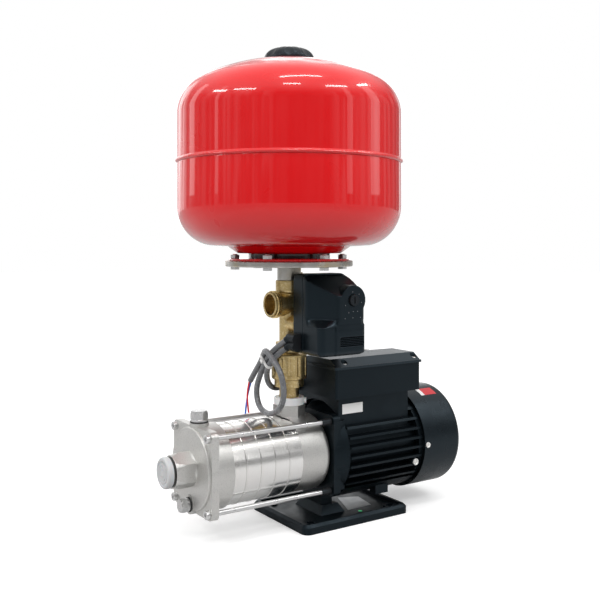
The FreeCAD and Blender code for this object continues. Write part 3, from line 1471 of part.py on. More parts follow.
def controller_outline():
    """The controller seen from the front."""
    return round_box(control_left(), control_right(), "control_low_z", "control_top_z",
                     ("control_corner", "control_corner", "control_corner * 1.6", "control_corner"))


def controller_back():
    body = new_body("controller_back")
    grow(body, "Pad", "XZ_Plane", controller_outline(), "control_back_len", "-control_y")
    wall = "control_wall"
    room = round_box("(%s + %s)" % (control_left(), wall), "(%s - %s)" % (control_right(), wall),
                     "(control_low_z + %s)" % wall, "(control_top_z - %s)" % wall, "control_corner - " + wall)
    grow(body, "Pocket", "XZ_Plane", room, "control_back_len - control_wall", "-control_y + control_back_len")
    port = rod("controller_neck_r - 4", "control_wall + 2", "outlet_x", "control_y + 1", "control_neck_z",
               ALONG_MINUS_Y)
    post_len = "control_y - control_wall / 2 - (%s)" % switch_face_y()
    post = rod("switch_post_r", post_len, switch_post_x(), "control_y - control_wall / 2", "control_neck_z",
               ALONG_MINUS_Y)
    node("controller_back", joined(without(body, port), post))


def controller_cover():
    """Moulded cover: a box with a cut corner above its belt, a sloped top, a dial boss and a proud panel."""
    left, right, front = control_left(), control_right(), front_y()
    back = "(control_y - control_back_len)"
    corner, first = "control_corner", "(control_corner + 1)"
    belt_top = "(control_belt_z + control_belt_len)"
    low = new_body("cover_low")
    plan = front_rounded(left, right, front, back, first, corner)
    grow(low, "Pad", "XY_Plane", plan, "control_belt_z - control_low_z", "control_low_z")
    dressed_edges(low, "Fillet", "control_corner - 1", lambda box: box.ZMax < value("control_low_z") + 0.01
                  and box.YMin < value(back) - 1)
    belt = loft_between("cover_belt", cut_plan("0"), "control_belt_z", cut_plan("1"), belt_top)
    high = new_body("cover_high")
    cut_x, cut_y = left + " + control_cut_x", front + " + control_cut_y"
    plan = [
        (cut_x, front), (right + " - " + corner, front, corner, 1), (right, front + " + " + corner),
        (right, back), (left, back), (left, cut_y),
    ]
    grow(high, "Pad", "XY_Plane", plan, "control_top_z - " + belt_top, belt_top)
    cut_ends = [(value(cut_x), value(front)), (value(left), value(cut_y))]
    dressed_edges(high, "Fillet", "control_cut_round", lambda box: box.ZLength > 1 and any(
        abs(box.XMin - x) < 0.01 and abs(box.YMin - y) < 0.01 and box.XLength < 0.01 for x, y in cut_ends))
    slope, ends = new_body("cover_slope"), new_body("cover_ends")
    wedge = [
        (back + " + 1", "control_slope_back_z"), (front + " - 1", "control_slope_z"),
        (front + " - 1", "control_top_z + 5"), (back + " + 1", "control_top_z + 5"),
    ]
    grow(slope, "Pad", "YZ_Plane", wedge, "control_len + 2", left + " - 1")
    grow(ends, "Pad", "XZ_Plane", controller_outline(), "control_cover_len + 1",
         "-control_y + control_back_len")
    boss = rod("dial_boss_r", "control_cover_len", "outlet_x + dial_x", back, "dial_z", ALONG_MINUS_Y)
    panel, limit = new_body("cover_panel"), new_body("panel_limit")
    proud = front + " - panel_proud"
    side = [
        (front + " + control_corner", "panel_high_z + panel_bevel * 2"),
        (front, "panel_high_z + panel_bevel * 2"),
        (proud, "panel_high_z"), (proud, "panel_low_z"), (front, "panel_low_z - panel_bevel"),
        (front + " + control_corner", "panel_low_z - panel_bevel"),
    ]
    start = "outlet_x + window_x - panel_margin"
    grow(panel, "Pad", "YZ_Plane", side, "%s - (%s)" % (right, start), start)
    plan = front_rounded(left, right, "(%s)" % proud, back, first, corner)
    grow(limit, "Pad", "XY_Plane", plan, "control_top_z - control_low_z", "control_low_z")
    wall = "control_wall"
    low_room = block("control_len - control_wall * 2", "control_cover_len - control_wall",
                     "control_belt_z - control_low_z - control_wall * 2", left + " + control_wall",
                     front + " + control_wall + 1", "control_low_z + control_wall")
    high_room = block("control_len - control_cut_x - control_wall * 2", "control_cover_len - control_wall",
                      "control_slope_z - 10 - control_belt_z + control_wall * 2", cut_x + " + control_wall",
                      front + " + control_wall + 1", "control_belt_z - control_wall * 2")
    window = block("window_len", "window_depth", "window_height", "outlet_x + window_x", proud + " - 0.01",
                   "window_z")
    stem = rod("dial_stem_r + run_gap", "control_cover_len + 4", "outlet_x + dial_x", back + " + 1", "dial_z",
               ALONG_MINUS_Y)
    seat = rod("dial_r + 0.3", "2", "outlet_x + dial_x", front + " + 1", "dial_z", ALONG_MINUS_Y)
    shell = joined(low, belt, shared(without(high, slope), ends), boss, shared(panel, limit))
    node("controller_cover", without(shell, low_room, high_room, window, stem, seat))


def cut_plan(share):
    """The cover's plan with its left front corner rounded (share 0) or on the cut corner's line (share 1)."""
    left, right, front = control_left(), control_right(), front_y()
    r, bow = "(control_corner + 1)", "(control_corner + 1) * 0.3"
    soft, right_bow = "control_corner", "control_corner * 0.3"
    if share == "0":
        nose = [(left, front + " + " + r), (left + " + " + bow, front + " + " + bow),
                (left + " + " + r, front)]
    else:
        nose = [("%s + control_cut_x * %g" % (left, part), "%s + control_cut_y * %g" % (front, 1 - part))
                for part in (0.25, 0.5, 0.75)]
    return [
        (left, "control_y - control_back_len"), (left, front + " + control_cut_y"), *nose,
        (left + " + control_cut_x", front), (right + " - " + soft, front),
        (right + " - " + right_bow, front + " + " + right_bow), (right, front + " + " + soft),
        (right, "control_y - control_back_len"),
    ]


def pressure_dial():
    """Slotted dial on a stem through the cover."""
    front = front_y()
    head = rod("dial_r", "dial_proud + 0.7", "outlet_x + dial_x", front + " + 0.7", "dial_z", ALONG_MINUS_Y)
    stem = rod("dial_stem_r", "control_cover_len - 6", "outlet_x + dial_x",
               front + " + control_cover_len - 6", "dial_z",
               ALONG_MINUS_Y)
    slot = block("dial_slot", "2", "dial_r * 1.2", "outlet_x + dial_x - dial_slot / 2",
                 front + " - dial_proud - 0.5",
                 "dial_z - dial_r * 0.6")
    node("pressure_dial", without(joined(head, stem), slot))


def diaphragm_x():
    return "(outlet_x + diaphragm_r * 0.7)"


def switch_post_x():
    return "(%s + diaphragm_r + 0.3 + switch_post_r)" % diaphragm_x()


def switch_face_y():
    """The switch's face, clear of the diaphragm plate and its travel."""
    return "(control_y - control_wall - seat_gap - diaphragm_len - plate_len - plate_travel)"


def controller_insides():
    y = "control_y - control_wall - seat_gap"
    disc = rod("diaphragm_r", "diaphragm_len", diaphragm_x(), y, "control_neck_z", ALONG_MINUS_Y)
    plate = rod("diaphragm_r * 0.6", "plate_len", diaphragm_x(), y + " - diaphragm_len", "control_neck_z",
                ALONG_MINUS_Y)
    node("control_diaphragm", joined(disc, plate))
    right = switch_post_x() + " + switch_post_r + 1"
    box = block("switch_len", "switch_wid", "switch_height", right + " - switch_len",
                switch_face_y() + " - switch_wid", "control_neck_z - switch_height / 2")
    node("micro_switch", box)


def cable_gland():
    """The double gland on the side of the controller: two lobes, with a nose for each cable, pointing back."""
    left = control_left()
    low = "gland_z - gland_pitch / 2 - gland_r"
    web = block("gland_r", "gland_len", "gland_pitch + gland_r * 2", left + " - gland_r",
                "control_y - gland_len", low)
    things = [web]
    for z in ("gland_z - gland_pitch / 2", "gland_z + gland_pitch / 2"):
        things.append(rod("gland_r", "gland_len", left + " - gland_r", "control_y", z, ALONG_MINUS_Y))
        things.append(cone("gland_r * 0.8", "cable_r + 1", "gland_nose_len", left + " - gland_r - 1.5",
                           "control_y - 2.5", z, ALONG_CABLE))
    node("cable_gland", joined(*things))


# Cables: routes as points, straight runs joined by tangent arcs

SUPPLY_ROUTE = [
    (-80.33, -22.76, 221.37), (-87, -12.9, 213.1), (-91, -0.5, 201.1), (-91, 10, 188.7), (-88.5, 23, 175.5),
    (-87.5, 33, 160), (-88, 32, 147), (-89, 23.5, 136.3), (-90.8, 8.5, 132.5), (-92.6, -9, 133.4),
    (-94, -26, 139.5), (-95.8, -40.5, 151.5), (-97.4, -46, 169), (-99, -40.5, 188.5), (-99.9, -23.5, 203),
    (-98, -4.6, 210.4), (-91.6, 8.8, 202.6), (-91.1, 20, 189.2), (-90, 33.5, 177.5), (-88, 47, 165.5),
]
LEAD_ROUTE = [
    (-80.33, -22.76, 212.37), (-85.62, -14.94, 205.81), (-91, -5.9, 195.3), (-91, 3, 184.9),
    (-86.5, 10.5, 172.5), (-77, 19.5, 162.5), (-66, 27, 156.7), (-54, 30.2, 155.9), (-42, 30, 158),
]
BLUE_ROUTE = [(-86.6, 47.2, 165.3), (-86.9, 54, 152), (-87.5, 58.5, 136), (-88, 60.5, 119)]
RED_ROUTE = [(-89.4, 47.4, 164.9), (-90.4, 51.5, 151), (-91.2, 49, 136), (-91, 46.4, 125.4)]


def route_path(name, points, radius):
    """Straight runs joined by arcs as large as the shorter run beside each corner allows."""
    corners = [Vector(*point) for point in points]
    edges, start, radii = [], corners[0], []
    for before, corner, after in zip(corners, corners[1:], corners[2:]):
        back, ahead = (before - corner).normalize(), (after - corner).normalize()
        half_turn = (math.pi - back.getAngle(ahead)) / 2
        reach = 0.45 * min((before - corner).Length, (after - corner).Length)
        bend = reach / math.tan(half_turn)
        radii.append(bend)
        first, last = corner + back * reach, corner + ahead * reach
        middle = corner + (back + ahead).normalize() * (bend / math.cos(half_turn) - bend)
        edges.append(Part.LineSegment(start, first).toShape())
        edges.append(Part.Arc(first, middle, last).toShape())
        start = last
    edges.append(Part.LineSegment(start, corners[-1]).toShape())
    length = sum(edge.Length for edge in edges)
    tightest = min(radii) / (2 * radius)
    print("%s length %.0f mm, radii %s, tightest %.1f diameters"
          % (name, length, " ".join("%.0f" % bend for bend in radii), tightest))
    return Part.Wire(edges), length


def cable(name, points, radius):
    path, length = route_path(name, points, radius)
    along = Vector(*points[1]) - Vector(*points[0])
    ring = Part.Wire([Part.makeCircle(radius, Vector(*points[0]), along)])
    tube = path.makePipeShell([ring], True, False)
    expected = math.pi * radius ** 2 * length
    if abs(tube.Volume / expected - 1) > 0.01:
        raise RuntimeError("%s has volume %.0f, not %.0f" % (name, tube.Volume, expected))
    thing = doc.addObject("Part::Feature", name)
    thing.Shape = tube
    node(name, thing)


def cables():
    cable("supply_cable", SUPPLY_ROUTE, value("cable_r"))
    cable("motor_lead", LEAD_ROUTE, value("cable_r"))
    cable("blue_wire", BLUE_ROUTE, value("wire_r"))
    cable("red_wire", RED_ROUTE, value("wire_r"))


def cable_tie():
    """A nylon band round the three strands side by side, with its square head."""
    band = new_body("cable_tie")
    grip, reach = "(cable_r + seat_gap)", "(cable_r * 2 + 0.8)"
    outer = stadium("(cable_r + seat_gap + tie_band)", reach)
    grow(band, "Pad", "XY_Plane", outer, "tie_width", "-tie_width / 2")
    inner = stadium(grip, reach)
    grow(band, "Pocket", "XY_Plane", inner, "tie_width", "tie_width / 2")
    head = block("tie_width", "tie_width * 1.4", "tie_width * 1.2", "cable_r + 0.5", "-tie_width * 0.7",
                 "-tie_width * 0.6")
    whole = joined(band, head)
    lie = FreeCAD.Rotation(Vector(-1, 0, 0), Vector(0, 0.76, 0.65), Vector(0, 0.65, -0.76), "ZYX")
    whole.Placement = FreeCAD.Placement(Vector(0, 0, 0), lie)
    for axis, text in zip("xyz", ("tie_x", "tie_y", "tie_z")):
        whole.setExpression(".Placement.Base." + axis, full(text))
    node("cable_tie", whole)


def stadium(radius, reach):
    """A slot shape, long in Y, as two half circles of four quarter arcs and two straight sides."""
    return [
        (radius, "-(%s)" % reach), (radius, reach, radius, 1), ("0", "%s + %s" % (reach, radius), radius, 1),
        ("-(%s)" % radius, reach), ("-(%s)" % radius, "-(%s)" % reach, radius, 1),
        ("0", "-(%s) - (%s)" % (reach, radius), radius, 1),
    ]


base_plate()
foot_screws()
motor_bracket()
motor_housing()
rear_end_shield()
fan_cover()
fan_cover_screws()
earth_screw()
pump_shaft()
shaft_bearings()
rotor_core()
stator_core()
stator_windings()
cooling_fan()
impellers()
shaft_seal()
terminal_box()
terminal_box_lid()
lid_screws()
capacitor()
terminal_block()
lead_gland()
outlet_casing()
stage_chambers()
front_cover()
inlet_cap()
plugs()
tie_bolts()
outlet_collar()
check_valve_body()
check_valve_poppet()
check_valve_spring()
brass_manifold()
gauge_plug()
tank_nipple()
counterflange()
flange_bolts()
tank_lower_shell()
tank_upper_shell()
tank_bladder()
air_valve()
air_valve_cap()
controller_back()
controller_cover()
pressure_dial()
controller_insides()
cable_gland()
cables()
cable_tie()

doc.recompute()
faults = []
for thing in doc.Objects:
    if "Invalid" in thing.State or "Error" in thing.State:
        faults.append("%s (%s) %s" % (thing.Label, thing.Name, thing.State))
for name, thing in nodes.items():
    if thing.Shape.isNull() or not thing.Shape.isValid() or not thing.Shape.Solids:
        faults.append(name + " has no valid shape")
if faults:
    raise RuntimeError("; ".join(faults))

os.makedirs("parts", exist_ok=True)
for name, thing in nodes.items():
    thing.Shape.exportStep(os.path.join("parts", name + ".step"))
print("%d nodes, %d solids" % (len(nodes), sum(len(thing.Shape.Solids) for thing in nodes.values())))
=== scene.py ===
import json
import math

import bmesh
import bpy
from bpy.props import FloatProperty, FloatVectorProperty, IntProperty, PointerProperty
from mathutils import Matrix, Vector


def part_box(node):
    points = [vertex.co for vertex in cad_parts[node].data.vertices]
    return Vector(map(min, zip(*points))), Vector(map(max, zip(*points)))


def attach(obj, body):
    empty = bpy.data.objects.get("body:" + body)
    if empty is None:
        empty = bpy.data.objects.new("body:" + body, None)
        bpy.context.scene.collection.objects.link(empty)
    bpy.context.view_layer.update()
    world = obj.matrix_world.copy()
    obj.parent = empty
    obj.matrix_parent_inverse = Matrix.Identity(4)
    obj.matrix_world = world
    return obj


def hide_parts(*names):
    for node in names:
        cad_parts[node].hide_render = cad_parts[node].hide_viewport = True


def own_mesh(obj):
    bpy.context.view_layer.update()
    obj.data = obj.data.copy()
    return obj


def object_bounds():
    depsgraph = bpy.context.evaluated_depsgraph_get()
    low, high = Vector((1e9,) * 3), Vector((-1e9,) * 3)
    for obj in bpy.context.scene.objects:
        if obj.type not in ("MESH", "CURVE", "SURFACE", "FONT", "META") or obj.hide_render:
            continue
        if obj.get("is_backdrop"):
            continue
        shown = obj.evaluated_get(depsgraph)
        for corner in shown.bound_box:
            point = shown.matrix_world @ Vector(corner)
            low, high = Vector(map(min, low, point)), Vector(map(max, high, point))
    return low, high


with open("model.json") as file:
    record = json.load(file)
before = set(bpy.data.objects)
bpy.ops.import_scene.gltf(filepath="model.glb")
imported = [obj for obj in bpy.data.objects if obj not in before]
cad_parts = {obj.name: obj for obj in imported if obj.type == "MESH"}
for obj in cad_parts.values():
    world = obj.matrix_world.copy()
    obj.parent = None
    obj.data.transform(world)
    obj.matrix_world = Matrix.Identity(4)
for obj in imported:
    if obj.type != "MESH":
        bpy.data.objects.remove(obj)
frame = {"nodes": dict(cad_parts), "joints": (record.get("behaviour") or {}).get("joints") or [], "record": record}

bl_info = {
    "name": "Booster pump with pressure tank",
    "version": (1, 0, 0),
    "blender": (4, 5, 0),
    "location": "3D View > Sidebar > Pump",
    "description": "Dresses the packed pump model: finishes, cords, shells, screws and the photo stage",
    "category": "Object",
}

CAD_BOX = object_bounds()
RECORD = frame["record"]
BODY_OF = {node: body for body, nodes in RECORD["behaviour"]["bodies"].items() for node in nodes}
SLOT_OF = {part["node"]: part["material_slot"] for part in RECORD["subparts"]}


def mm(*values):
    """Millimetres to metres, as one number or a vector."""
    return values[0] / 1000 if len(values) == 1 else Vector(values) / 1000


def low(node):
    """A model node's lowest corner, in millimetres."""
    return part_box(node)[0] * 1000


def high(node):
    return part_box(node)[1] * 1000


def middle(node):
    return (low(node) + high(node)) / 2


def joint_place(name):
    """Where a joint turns or slides, in millimetres."""
    return Vector(next(joint["pos_m"] for joint in frame["joints"] if joint["name"] == name)) * 1000


# Places that several pieces share, in millimetres
SHAFT_HEIGHT = joint_place("rotor_spin").z
DIAL = joint_place("dial_turn")
OUTLET_X = middle("tank_nipple").x


# User settings

def setting(name, description, default, kind=FloatProperty, **limits):
    return kind(name=name, description=description, default=default, **limits)


def colour(name, description, default):
    return setting(name, description, default, FloatVectorProperty, subtype="COLOR", size=3, min=0,
                   max=1)


def length(name, description, default, least=0):
    """A size, kept in millimetres so that the sidebar shows it as a drawing would."""
    return setting(name + " (mm)", description, default, min=least)


class PumpColours(bpy.types.PropertyGroup):
    """Base colours of the finishes, in linear light."""

    black_paint: colour("Black paint", "Satin paint on the motor, bracket and base",
                        (0.0022, 0.0036, 0.0048))
    black_plastic: colour("Black plastic", "Moulded controller and terminal box",
                          (0.0022, 0.0038, 0.0052))
    red_paint: colour("Red paint", "Gloss powder coat on the tank", (0.75, 0.0035, 0.006))
    cast_steel: colour("Cast steel", "Bead blasted casing and cover", (0.68, 0.675, 0.655))
    polished_steel: colour("Polished steel", "Bright stage chambers", (0.88, 0.875, 0.86))
    brass: colour("Brass", "Outlet column", (0.62, 0.47, 0.22))
    zinc: colour("Zinc plate", "Counterflange and nipple", (0.46, 0.45, 0.42))
    bright_steel: colour("Bright steel", "Bolts and screws", (0.72, 0.72, 0.72))
    white_nylon: colour("White nylon", "Collar on the outlet boss", (0.84, 0.85, 0.85))
    pale_cap: colour("Pale cap", "Transport cap in the inlet", (0.6, 0.61, 0.62))
    cable_grey: colour("Cable grey", "Sheath of the supply cable and the motor lead",
                       (0.15, 0.155, 0.165))
    wire_blue: colour("Blue wire", "Neutral conductor", (0.015, 0.15, 0.75))
    wire_red: colour("Red wire", "Live conductor", (0.8, 0.012, 0.02))


class PumpSizes(bpy.types.PropertyGroup):
    """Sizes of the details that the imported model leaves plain."""

    casting_edge: length("Casting edge", "Radius on the edges of cast pieces", 0.9)
    machined_edge: length("Machined edge", "Radius on the edges of turned and milled pieces", 0.35)
    moulded_edge: length("Moulded edge", "Radius on the edges of plastic pieces", 1.1)
    cable_diameter: length("Cable diameter", "Sheath of the grey cables", 7.0)
    wire_diameter: length("Wire diameter", "Insulation of the two bare leads", 2.2)
    thread_pitch: length("Thread pitch", "Pitch of the side outlet's pipe thread", 2.31)
    round_steps: setting("Round steps", "Facets round a full turn of a large revolved piece", 192,
                         IntProperty, min=24)


class PumpStage(bpy.types.PropertyGroup):
    """Camera, floor and lamps."""

    lens: setting("Lens (mm)", "Focal length on a 36 mm sensor", 49.9)
    shift: setting("Vertical shift", "Moves the horizon above the frame's middle", -0.0947)
    heading: setting("Heading", "Camera's turn about the vertical", math.radians(-33.61),
                     subtype="ANGLE")
    floor: colour("Floor", "Colour of the studio floor", (0.9, 0.9, 0.9))
    room_light: setting("Room light", "Even light on matt surfaces", 0.9)
    strip_light: setting("Strip light", "Brightness of the tall soft boxes", 1.5)
    ceiling_light: setting("Ceiling light", "Brightness of the small ceiling lamps", 17.0)


# Finishes

class Graph:
    """A shader tree, with one way to add a node and feed it."""

    def __init__(self, owner):
        owner.use_nodes = True
        self.nodes, self.links = owner.node_tree.nodes, owner.node_tree.links

    def feed(self, socket, value):
        """Gives an input its value, or the output that it takes it from."""
        if isinstance(value, bpy.types.NodeSocket):
            self.links.new(value, socket)
        else:
            socket.default_value = value

    def add(self, kind, inputs=None, **settings):
        node = self.nodes.new("ShaderNode" + kind)
        for key, choice in settings.items():
            setattr(node, key, choice)
        for key, value in (inputs or {}).items():
            self.feed(node.inputs[key], value)
        return node

    def span(self, value, bottom, top, start=0.0, end=1.0, **settings):
        """A value's stretch from bottom to top, spread from start to end."""
        return self.add("MapRange", {"Value": value, "From Min": bottom, "From Max": top,
                                     "To Min": start, "To Max": end}, **settings).outputs["Result"]

    def joined(self, operation, *values):
        return self.add("Math", dict(enumerate(values)), operation=operation).outputs[0]


ROUGH_NOISE = (0.3, 0.7)  # the stretch of a noise that the roughness follows
COOL = (0.6, 0.83, 1.0, 1.0)  # tint of the shine on black skins
NECK_SHADE = ((318.4, 319.2), (327.0, 323.5))  # heights where the painted shade on the tank neck sets in and ends


class Finish(Graph):
    """One procedural material: a principled shader with patterns on object coordinates."""

    def __init__(self, name, base, roughness, **sockets):
        self.material = bpy.data.materials.new(name)
        super().__init__(self.material)
        self.shader = self.nodes["Principled BSDF"]
        sockets = {"Base_Color": (*base, 1), "Roughness": roughness, **sockets}
        for socket, amount in sockets.items():
            self.shader.inputs[socket.replace("_", " ")].default_value = amount
        self.base = base
        self.place = self.add("TexCoord").outputs["Object"]
        self.height = None

    def noise(self, scale, detail, place=None):
        return self.add("TexNoise", {"Scale": scale, "Detail": detail,
                                     "Vector": place or self.place}).outputs["Fac"]

    def drawn(self, pattern):
        """A pattern's output. A pair of numbers stands for a noise's scale and detail."""
        return self.noise(*pattern) if isinstance(pattern, tuple) else pattern

    def tint(self, value, other):
        """Mixes another colour into the base where value is high."""
        mix = self.add("Mix", {"Factor": value}, data_type="RGBA")
        first, second = [socket for socket in mix.inputs if socket.type == "RGBA"]
        source = self.shader.inputs["Base Color"]
        self.feed(first, source.links[0].from_socket if source.is_linked else (*self.base, 1))
        self.feed(second, (*other, 1))
        self.feed(source, [socket for socket in mix.outputs if socket.type == "RGBA"][0])

    def patches(self, pattern, bottom, top, amount, other):
        """Clouds of another colour, at most that strong, where a pattern runs from bottom to top."""
        self.tint(self.span(self.drawn(pattern), bottom, top, 0, amount), other)

    def rough(self, pattern, start, end):
        """Lets a pattern vary the roughness."""
        self.feed(self.shader.inputs["Roughness"],
                  self.span(self.drawn(pattern), *ROUGH_NOISE, start, end))

    def bump(self, pattern, depth, strength=1.0):
        """Adds a relief of that depth in metres, on top of any before it."""
        bump = self.add("Bump", {"Distance": depth, "Strength": strength,
                                 "Height": self.drawn(pattern)})
        if self.height:
            self.feed(bump.inputs["Normal"], self.height)
        self.height = bump.outputs["Normal"]
        self.feed(self.shader.inputs["Normal"], self.height)


FINISHES = {}


def scaled(base, share, lift=0.0):
    return [min(1, c * share + lift) for c in base]


def cast_paint(name, base, roughness, grain, shine=0.3):
    """Paint over a casting: a soft orange peel and a little dust in patches."""
    paint = Finish(name, base, roughness, Specular_IOR_Level=shine, Specular_Tint=COOL)
    paint.rough((60, 3), roughness - 0.06, roughness + 0.08)
    paint.patches((18, 4), 0.5, 0.85, 0.35, scaled(base, 1.8, 0.003))
    paint.bump((420, 2), grain)
    paint.bump((90, 2), grain * 2.5)
    return paint.material


def moulded(name, base, roughness, grain, shine=0.28):
    """Spark eroded plastic: a fine even grain."""
    plastic = Finish(name, base, roughness, Specular_IOR_Level=shine, Specular_Tint=COOL)
    plastic.bump((1500, 2), grain)
    plastic.bump((40, 1), grain * 3)
    plastic.rough((25, 3), roughness - 0.05, roughness + 0.05)
    plastic.patches((12, 3), 0.45, 0.9, 0.3, scaled(base, 1.5, 0.003))
    return plastic.material


def gloss_red(base):
    """Powder coat: a slow orange peel under a clear gloss, and painted shade on the neck above the flange."""
    coat = Finish("Tank red", base, 0.3, Coat_Weight=1.0, Coat_Roughness=0.035, Coat_IOR=1.5,
                  Specular_IOR_Level=0.2)
    coat.bump((150, 1), 0.00003)
    coat.patches((9, 3), 0.45, 0.8, 0.25, scaled(base, 0.86))
    height = coat.add("SeparateXYZ", {0: coat.place}).outputs["Z"]
    above, below = [coat.span(height, mm(start), mm(end)) for start, end in NECK_SHADE]
    # Painted shade: the neck between the flange and the tank bottom is darkened to near-black red
    coat.tint(coat.joined("MULTIPLY", above, below), (0.03, 0.003, 0.003))
    coat.rough((30, 2), 0.26, 0.36)
    return coat.material


def blasted_steel(base):
    """Investment cast steel after bead blasting: fine pits and a slight cloudiness."""
    steel = Finish("Blasted steel", base, 0.42, Metallic=1.0)
    pits = steel.add("TexVoronoi", {"Scale": 700, "Vector": steel.place}).outputs["Distance"]
    steel.bump(pits, 0.00012, 0.8)
    steel.bump((1300, 2), 0.0001, 0.8)
    steel.rough((35, 4), 0.38, 0.52)
    steel.patches((14, 4), 0.4, 0.8, 0.5, scaled(base, 0.82))
    steel.patches((900, 2), 0.5, 0.75, 0.5, scaled(base, 0.62))
    return steel.material


def polished_steel(base):
    """Pressed steel polished round the shaft: fine rings and a few rub marks."""
    steel = Finish("Polished steel", base, 0.2, Metallic=1.0)
    across = steel.add("Mapping", {"Vector": steel.place, "Scale": (0.0004, 0.03, 0.03),
                                   "Location": (0, 0, mm(SHAFT_HEIGHT))}, vector_type="TEXTURE")
    rings = steel.noise(1.0, 3, across.outputs["Vector"])
    steel.bump(rings, 0.00001, 0.5)
    steel.rough(rings, 0.15, 0.27)
    steel.bump((22, 1), 0.0006, 0.5)
    steel.bump((420, 2), 0.00003, 0.6)
    steel.patches((9, 3), 0.45, 0.8, 0.5, (0.72, 0.66, 0.6))
    return steel.material


def bright_steel(name, base, roughness):
    steel = Finish(name, base, roughness, Metallic=1.0)
    steel.bump((500, 1), 0.00001)
    steel.rough((120, 3), roughness - 0.04, roughness + 0.08)
    return steel.material


def cast_brass(base):
    """Tumbled brass: sand grain, darker in patches, brighter where it was rubbed."""
    brass = Finish("Cast brass", base, 0.36, Metallic=1.0)
    brass.bump((620, 3), 0.00022, 0.9)
    brass.bump((70, 2), 0.0004, 0.4)
    brass.rough((60, 3), 0.26, 0.46)
    brass.patches((60, 4), 0.45, 0.75, 0.7, (0.34, 0.23, 0.08))
    brass.patches((420, 3), 0.5, 0.7, 0.5, (0.9, 0.78, 0.5))
    return brass.material


def turned_brass(base):
    brass = Finish("Turned brass", scaled(base, 1.15), 0.22, Metallic=1.0)
    brass.bump((700, 2), 0.00003)
    brass.rough((80, 3), 0.16, 0.32)
    return brass.material


def yellowed_zinc(base):
    """Zinc plate with the yellow bloom of its passivation and dull rub marks."""
    zinc = Finish("Yellowed zinc", base, 0.34, Metallic=1.0)
    zinc.patches((24, 4), 0.48, 0.68, 0.75, (0.55, 0.42, 0.2))
    zinc.patches((60, 3), 0.5, 0.8, 0.6, (0.72, 0.71, 0.7))
    zinc.rough((80, 4), 0.26, 0.46)
    zinc.bump((300, 3), 0.00008)
    return zinc.material


def soft_plastic(name, base, roughness, glow=0.0):
    """Nylon and other pale plastics. Glow is the light that comes through them."""
    nylon = Finish(name, base, roughness, Subsurface_Weight=glow, Subsurface_Scale=0.002)
    nylon.bump((700, 2), 0.00003)
    nylon.patches((60, 3), 0.5, 0.9, 0.35, scaled(base, 0.86))
    return nylon.material


def sheath(name, base, roughness):
    """Extruded cable sheath: a dull skin with scuffs."""
    skin = Finish(name, base, roughness, Specular_IOR_Level=0.8)
    skin.bump((600, 2), 0.00005)
    skin.patches((120, 4), 0.5, 0.8, 0.45, scaled(base, 1.45))
    skin.rough((90, 3), roughness - 0.08, roughness + 0.1)
    return skin.material


def make_finishes(colours):
    """Every material of the pump, by its short name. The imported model's slots are among the names."""
    paint, plastic = colours.black_paint, colours.black_plastic
    FINISHES.update({
        "black_paint": cast_paint("Black paint", paint, 0.42, 0.00003),
        "black_gloss": cast_paint("Cowl paint", paint, 0.28, 0.00002, 0.36),
        "box_plastic": moulded("Box plastic", plastic, 0.42, 0.00002),
        "control_plastic": moulded("Controller plastic", plastic, 0.31, 0.00002, 0.4),
        "lid_plastic": moulded("Lid plastic", plastic, 0.4, 0.00003, 0.62),
        "black_nylon": moulded("Black nylon", (0.014, 0.014, 0.015), 0.36, 0.00002),
        "dark_sleeve": moulded("Sleeve", (0.02, 0.02, 0.021), 0.4, 0.00002),
        # Painted shade: a near-black sheet that stands for the dark depth behind the window's bars
        "window_painted_shade": moulded("Painted shade in window", (0.001, 0.001, 0.0015), 0.6, 0.00001, 0.1),
        "cast_steel": blasted_steel(colours.cast_steel),
        "polished_steel": polished_steel(colours.polished_steel),
        "bolt_steel": bright_steel("Bright bolts", colours.bright_steel, 0.3),
        "zinc_screws": bright_steel("Satin screws", (0.95, 0.95, 0.93), 0.58),
        "shaft_steel": bright_steel("Ground steel", (0.6, 0.6, 0.6), 0.28),
        "foil": bright_steel("Blank foil", (0.27, 0.28, 0.29), 0.42),
        "brass": cast_brass(colours.brass),
        "turned_brass": turned_brass(colours.brass),
        "zinc_plate": yellowed_zinc(colours.zinc),
        "red_gloss": gloss_red(colours.red_paint),
        "white_nylon": soft_plastic("White nylon", colours.white_nylon, 0.36, 0.1),
        "grey_nylon": soft_plastic("Pale cap", colours.pale_cap, 0.42, 0.1),
        "clear_nylon": soft_plastic("Clear nylon", (0.8, 0.8, 0.79), 0.34),
        # Painted highlight: the lid's zinc screw heads get a near-white matt colour that stands in for their glint
        "lid_screw_glint": soft_plastic("Lid screws, painted glint", (0.9, 0.9, 0.88), 0.3),
        "label": soft_plastic("Blank label", (0.86, 0.86, 0.85), 0.3),
        "label_red": soft_plastic("Red label band", (0.6, 0.02, 0.03), 0.3),
        "dot_green": soft_plastic("Inspection dot", (0.03, 0.62, 0.2), 0.4),
        "pale_print": soft_plastic("Pale dots", (0.17, 0.18, 0.19), 0.5),
        "ceramic": soft_plastic("Seal face", (0.6, 0.58, 0.55), 0.25),
        "terminal_cream": soft_plastic("Terminal block", (0.7, 0.66, 0.55), 0.4),
        "capacitor_case": soft_plastic("Capacitor case", (0.5, 0.5, 0.5), 0.35),
        "black_rubber": sheath("Rubber", (0.02, 0.02, 0.02), 0.7),
        "cable_grey": sheath("Cable sheath", colours.cable_grey, 0.28),
        "wire_blue": sheath("Blue insulation", colours.wire_blue, 0.36),
        "wire_red": sheath("Red insulation", colours.wire_red, 0.36),
        "copper_winding": sheath("Copper winding", (0.45, 0.16, 0.06), 0.3),
        "iron_laminations": cast_paint("Laminations", (0.09, 0.09, 0.1), 0.5, 0.00002),
    })


# Shared making

FACET_ANGLE = math.radians(32)
SMOOTH_ANGLE = math.radians(40)
AXES = {
    "-X": Matrix(((0, 0, -1), (0, 1, 0), (1, 0, 0))),
    "-Y": Matrix(((1, 0, 0), (0, 0, -1), (0, 1, 0))),
}


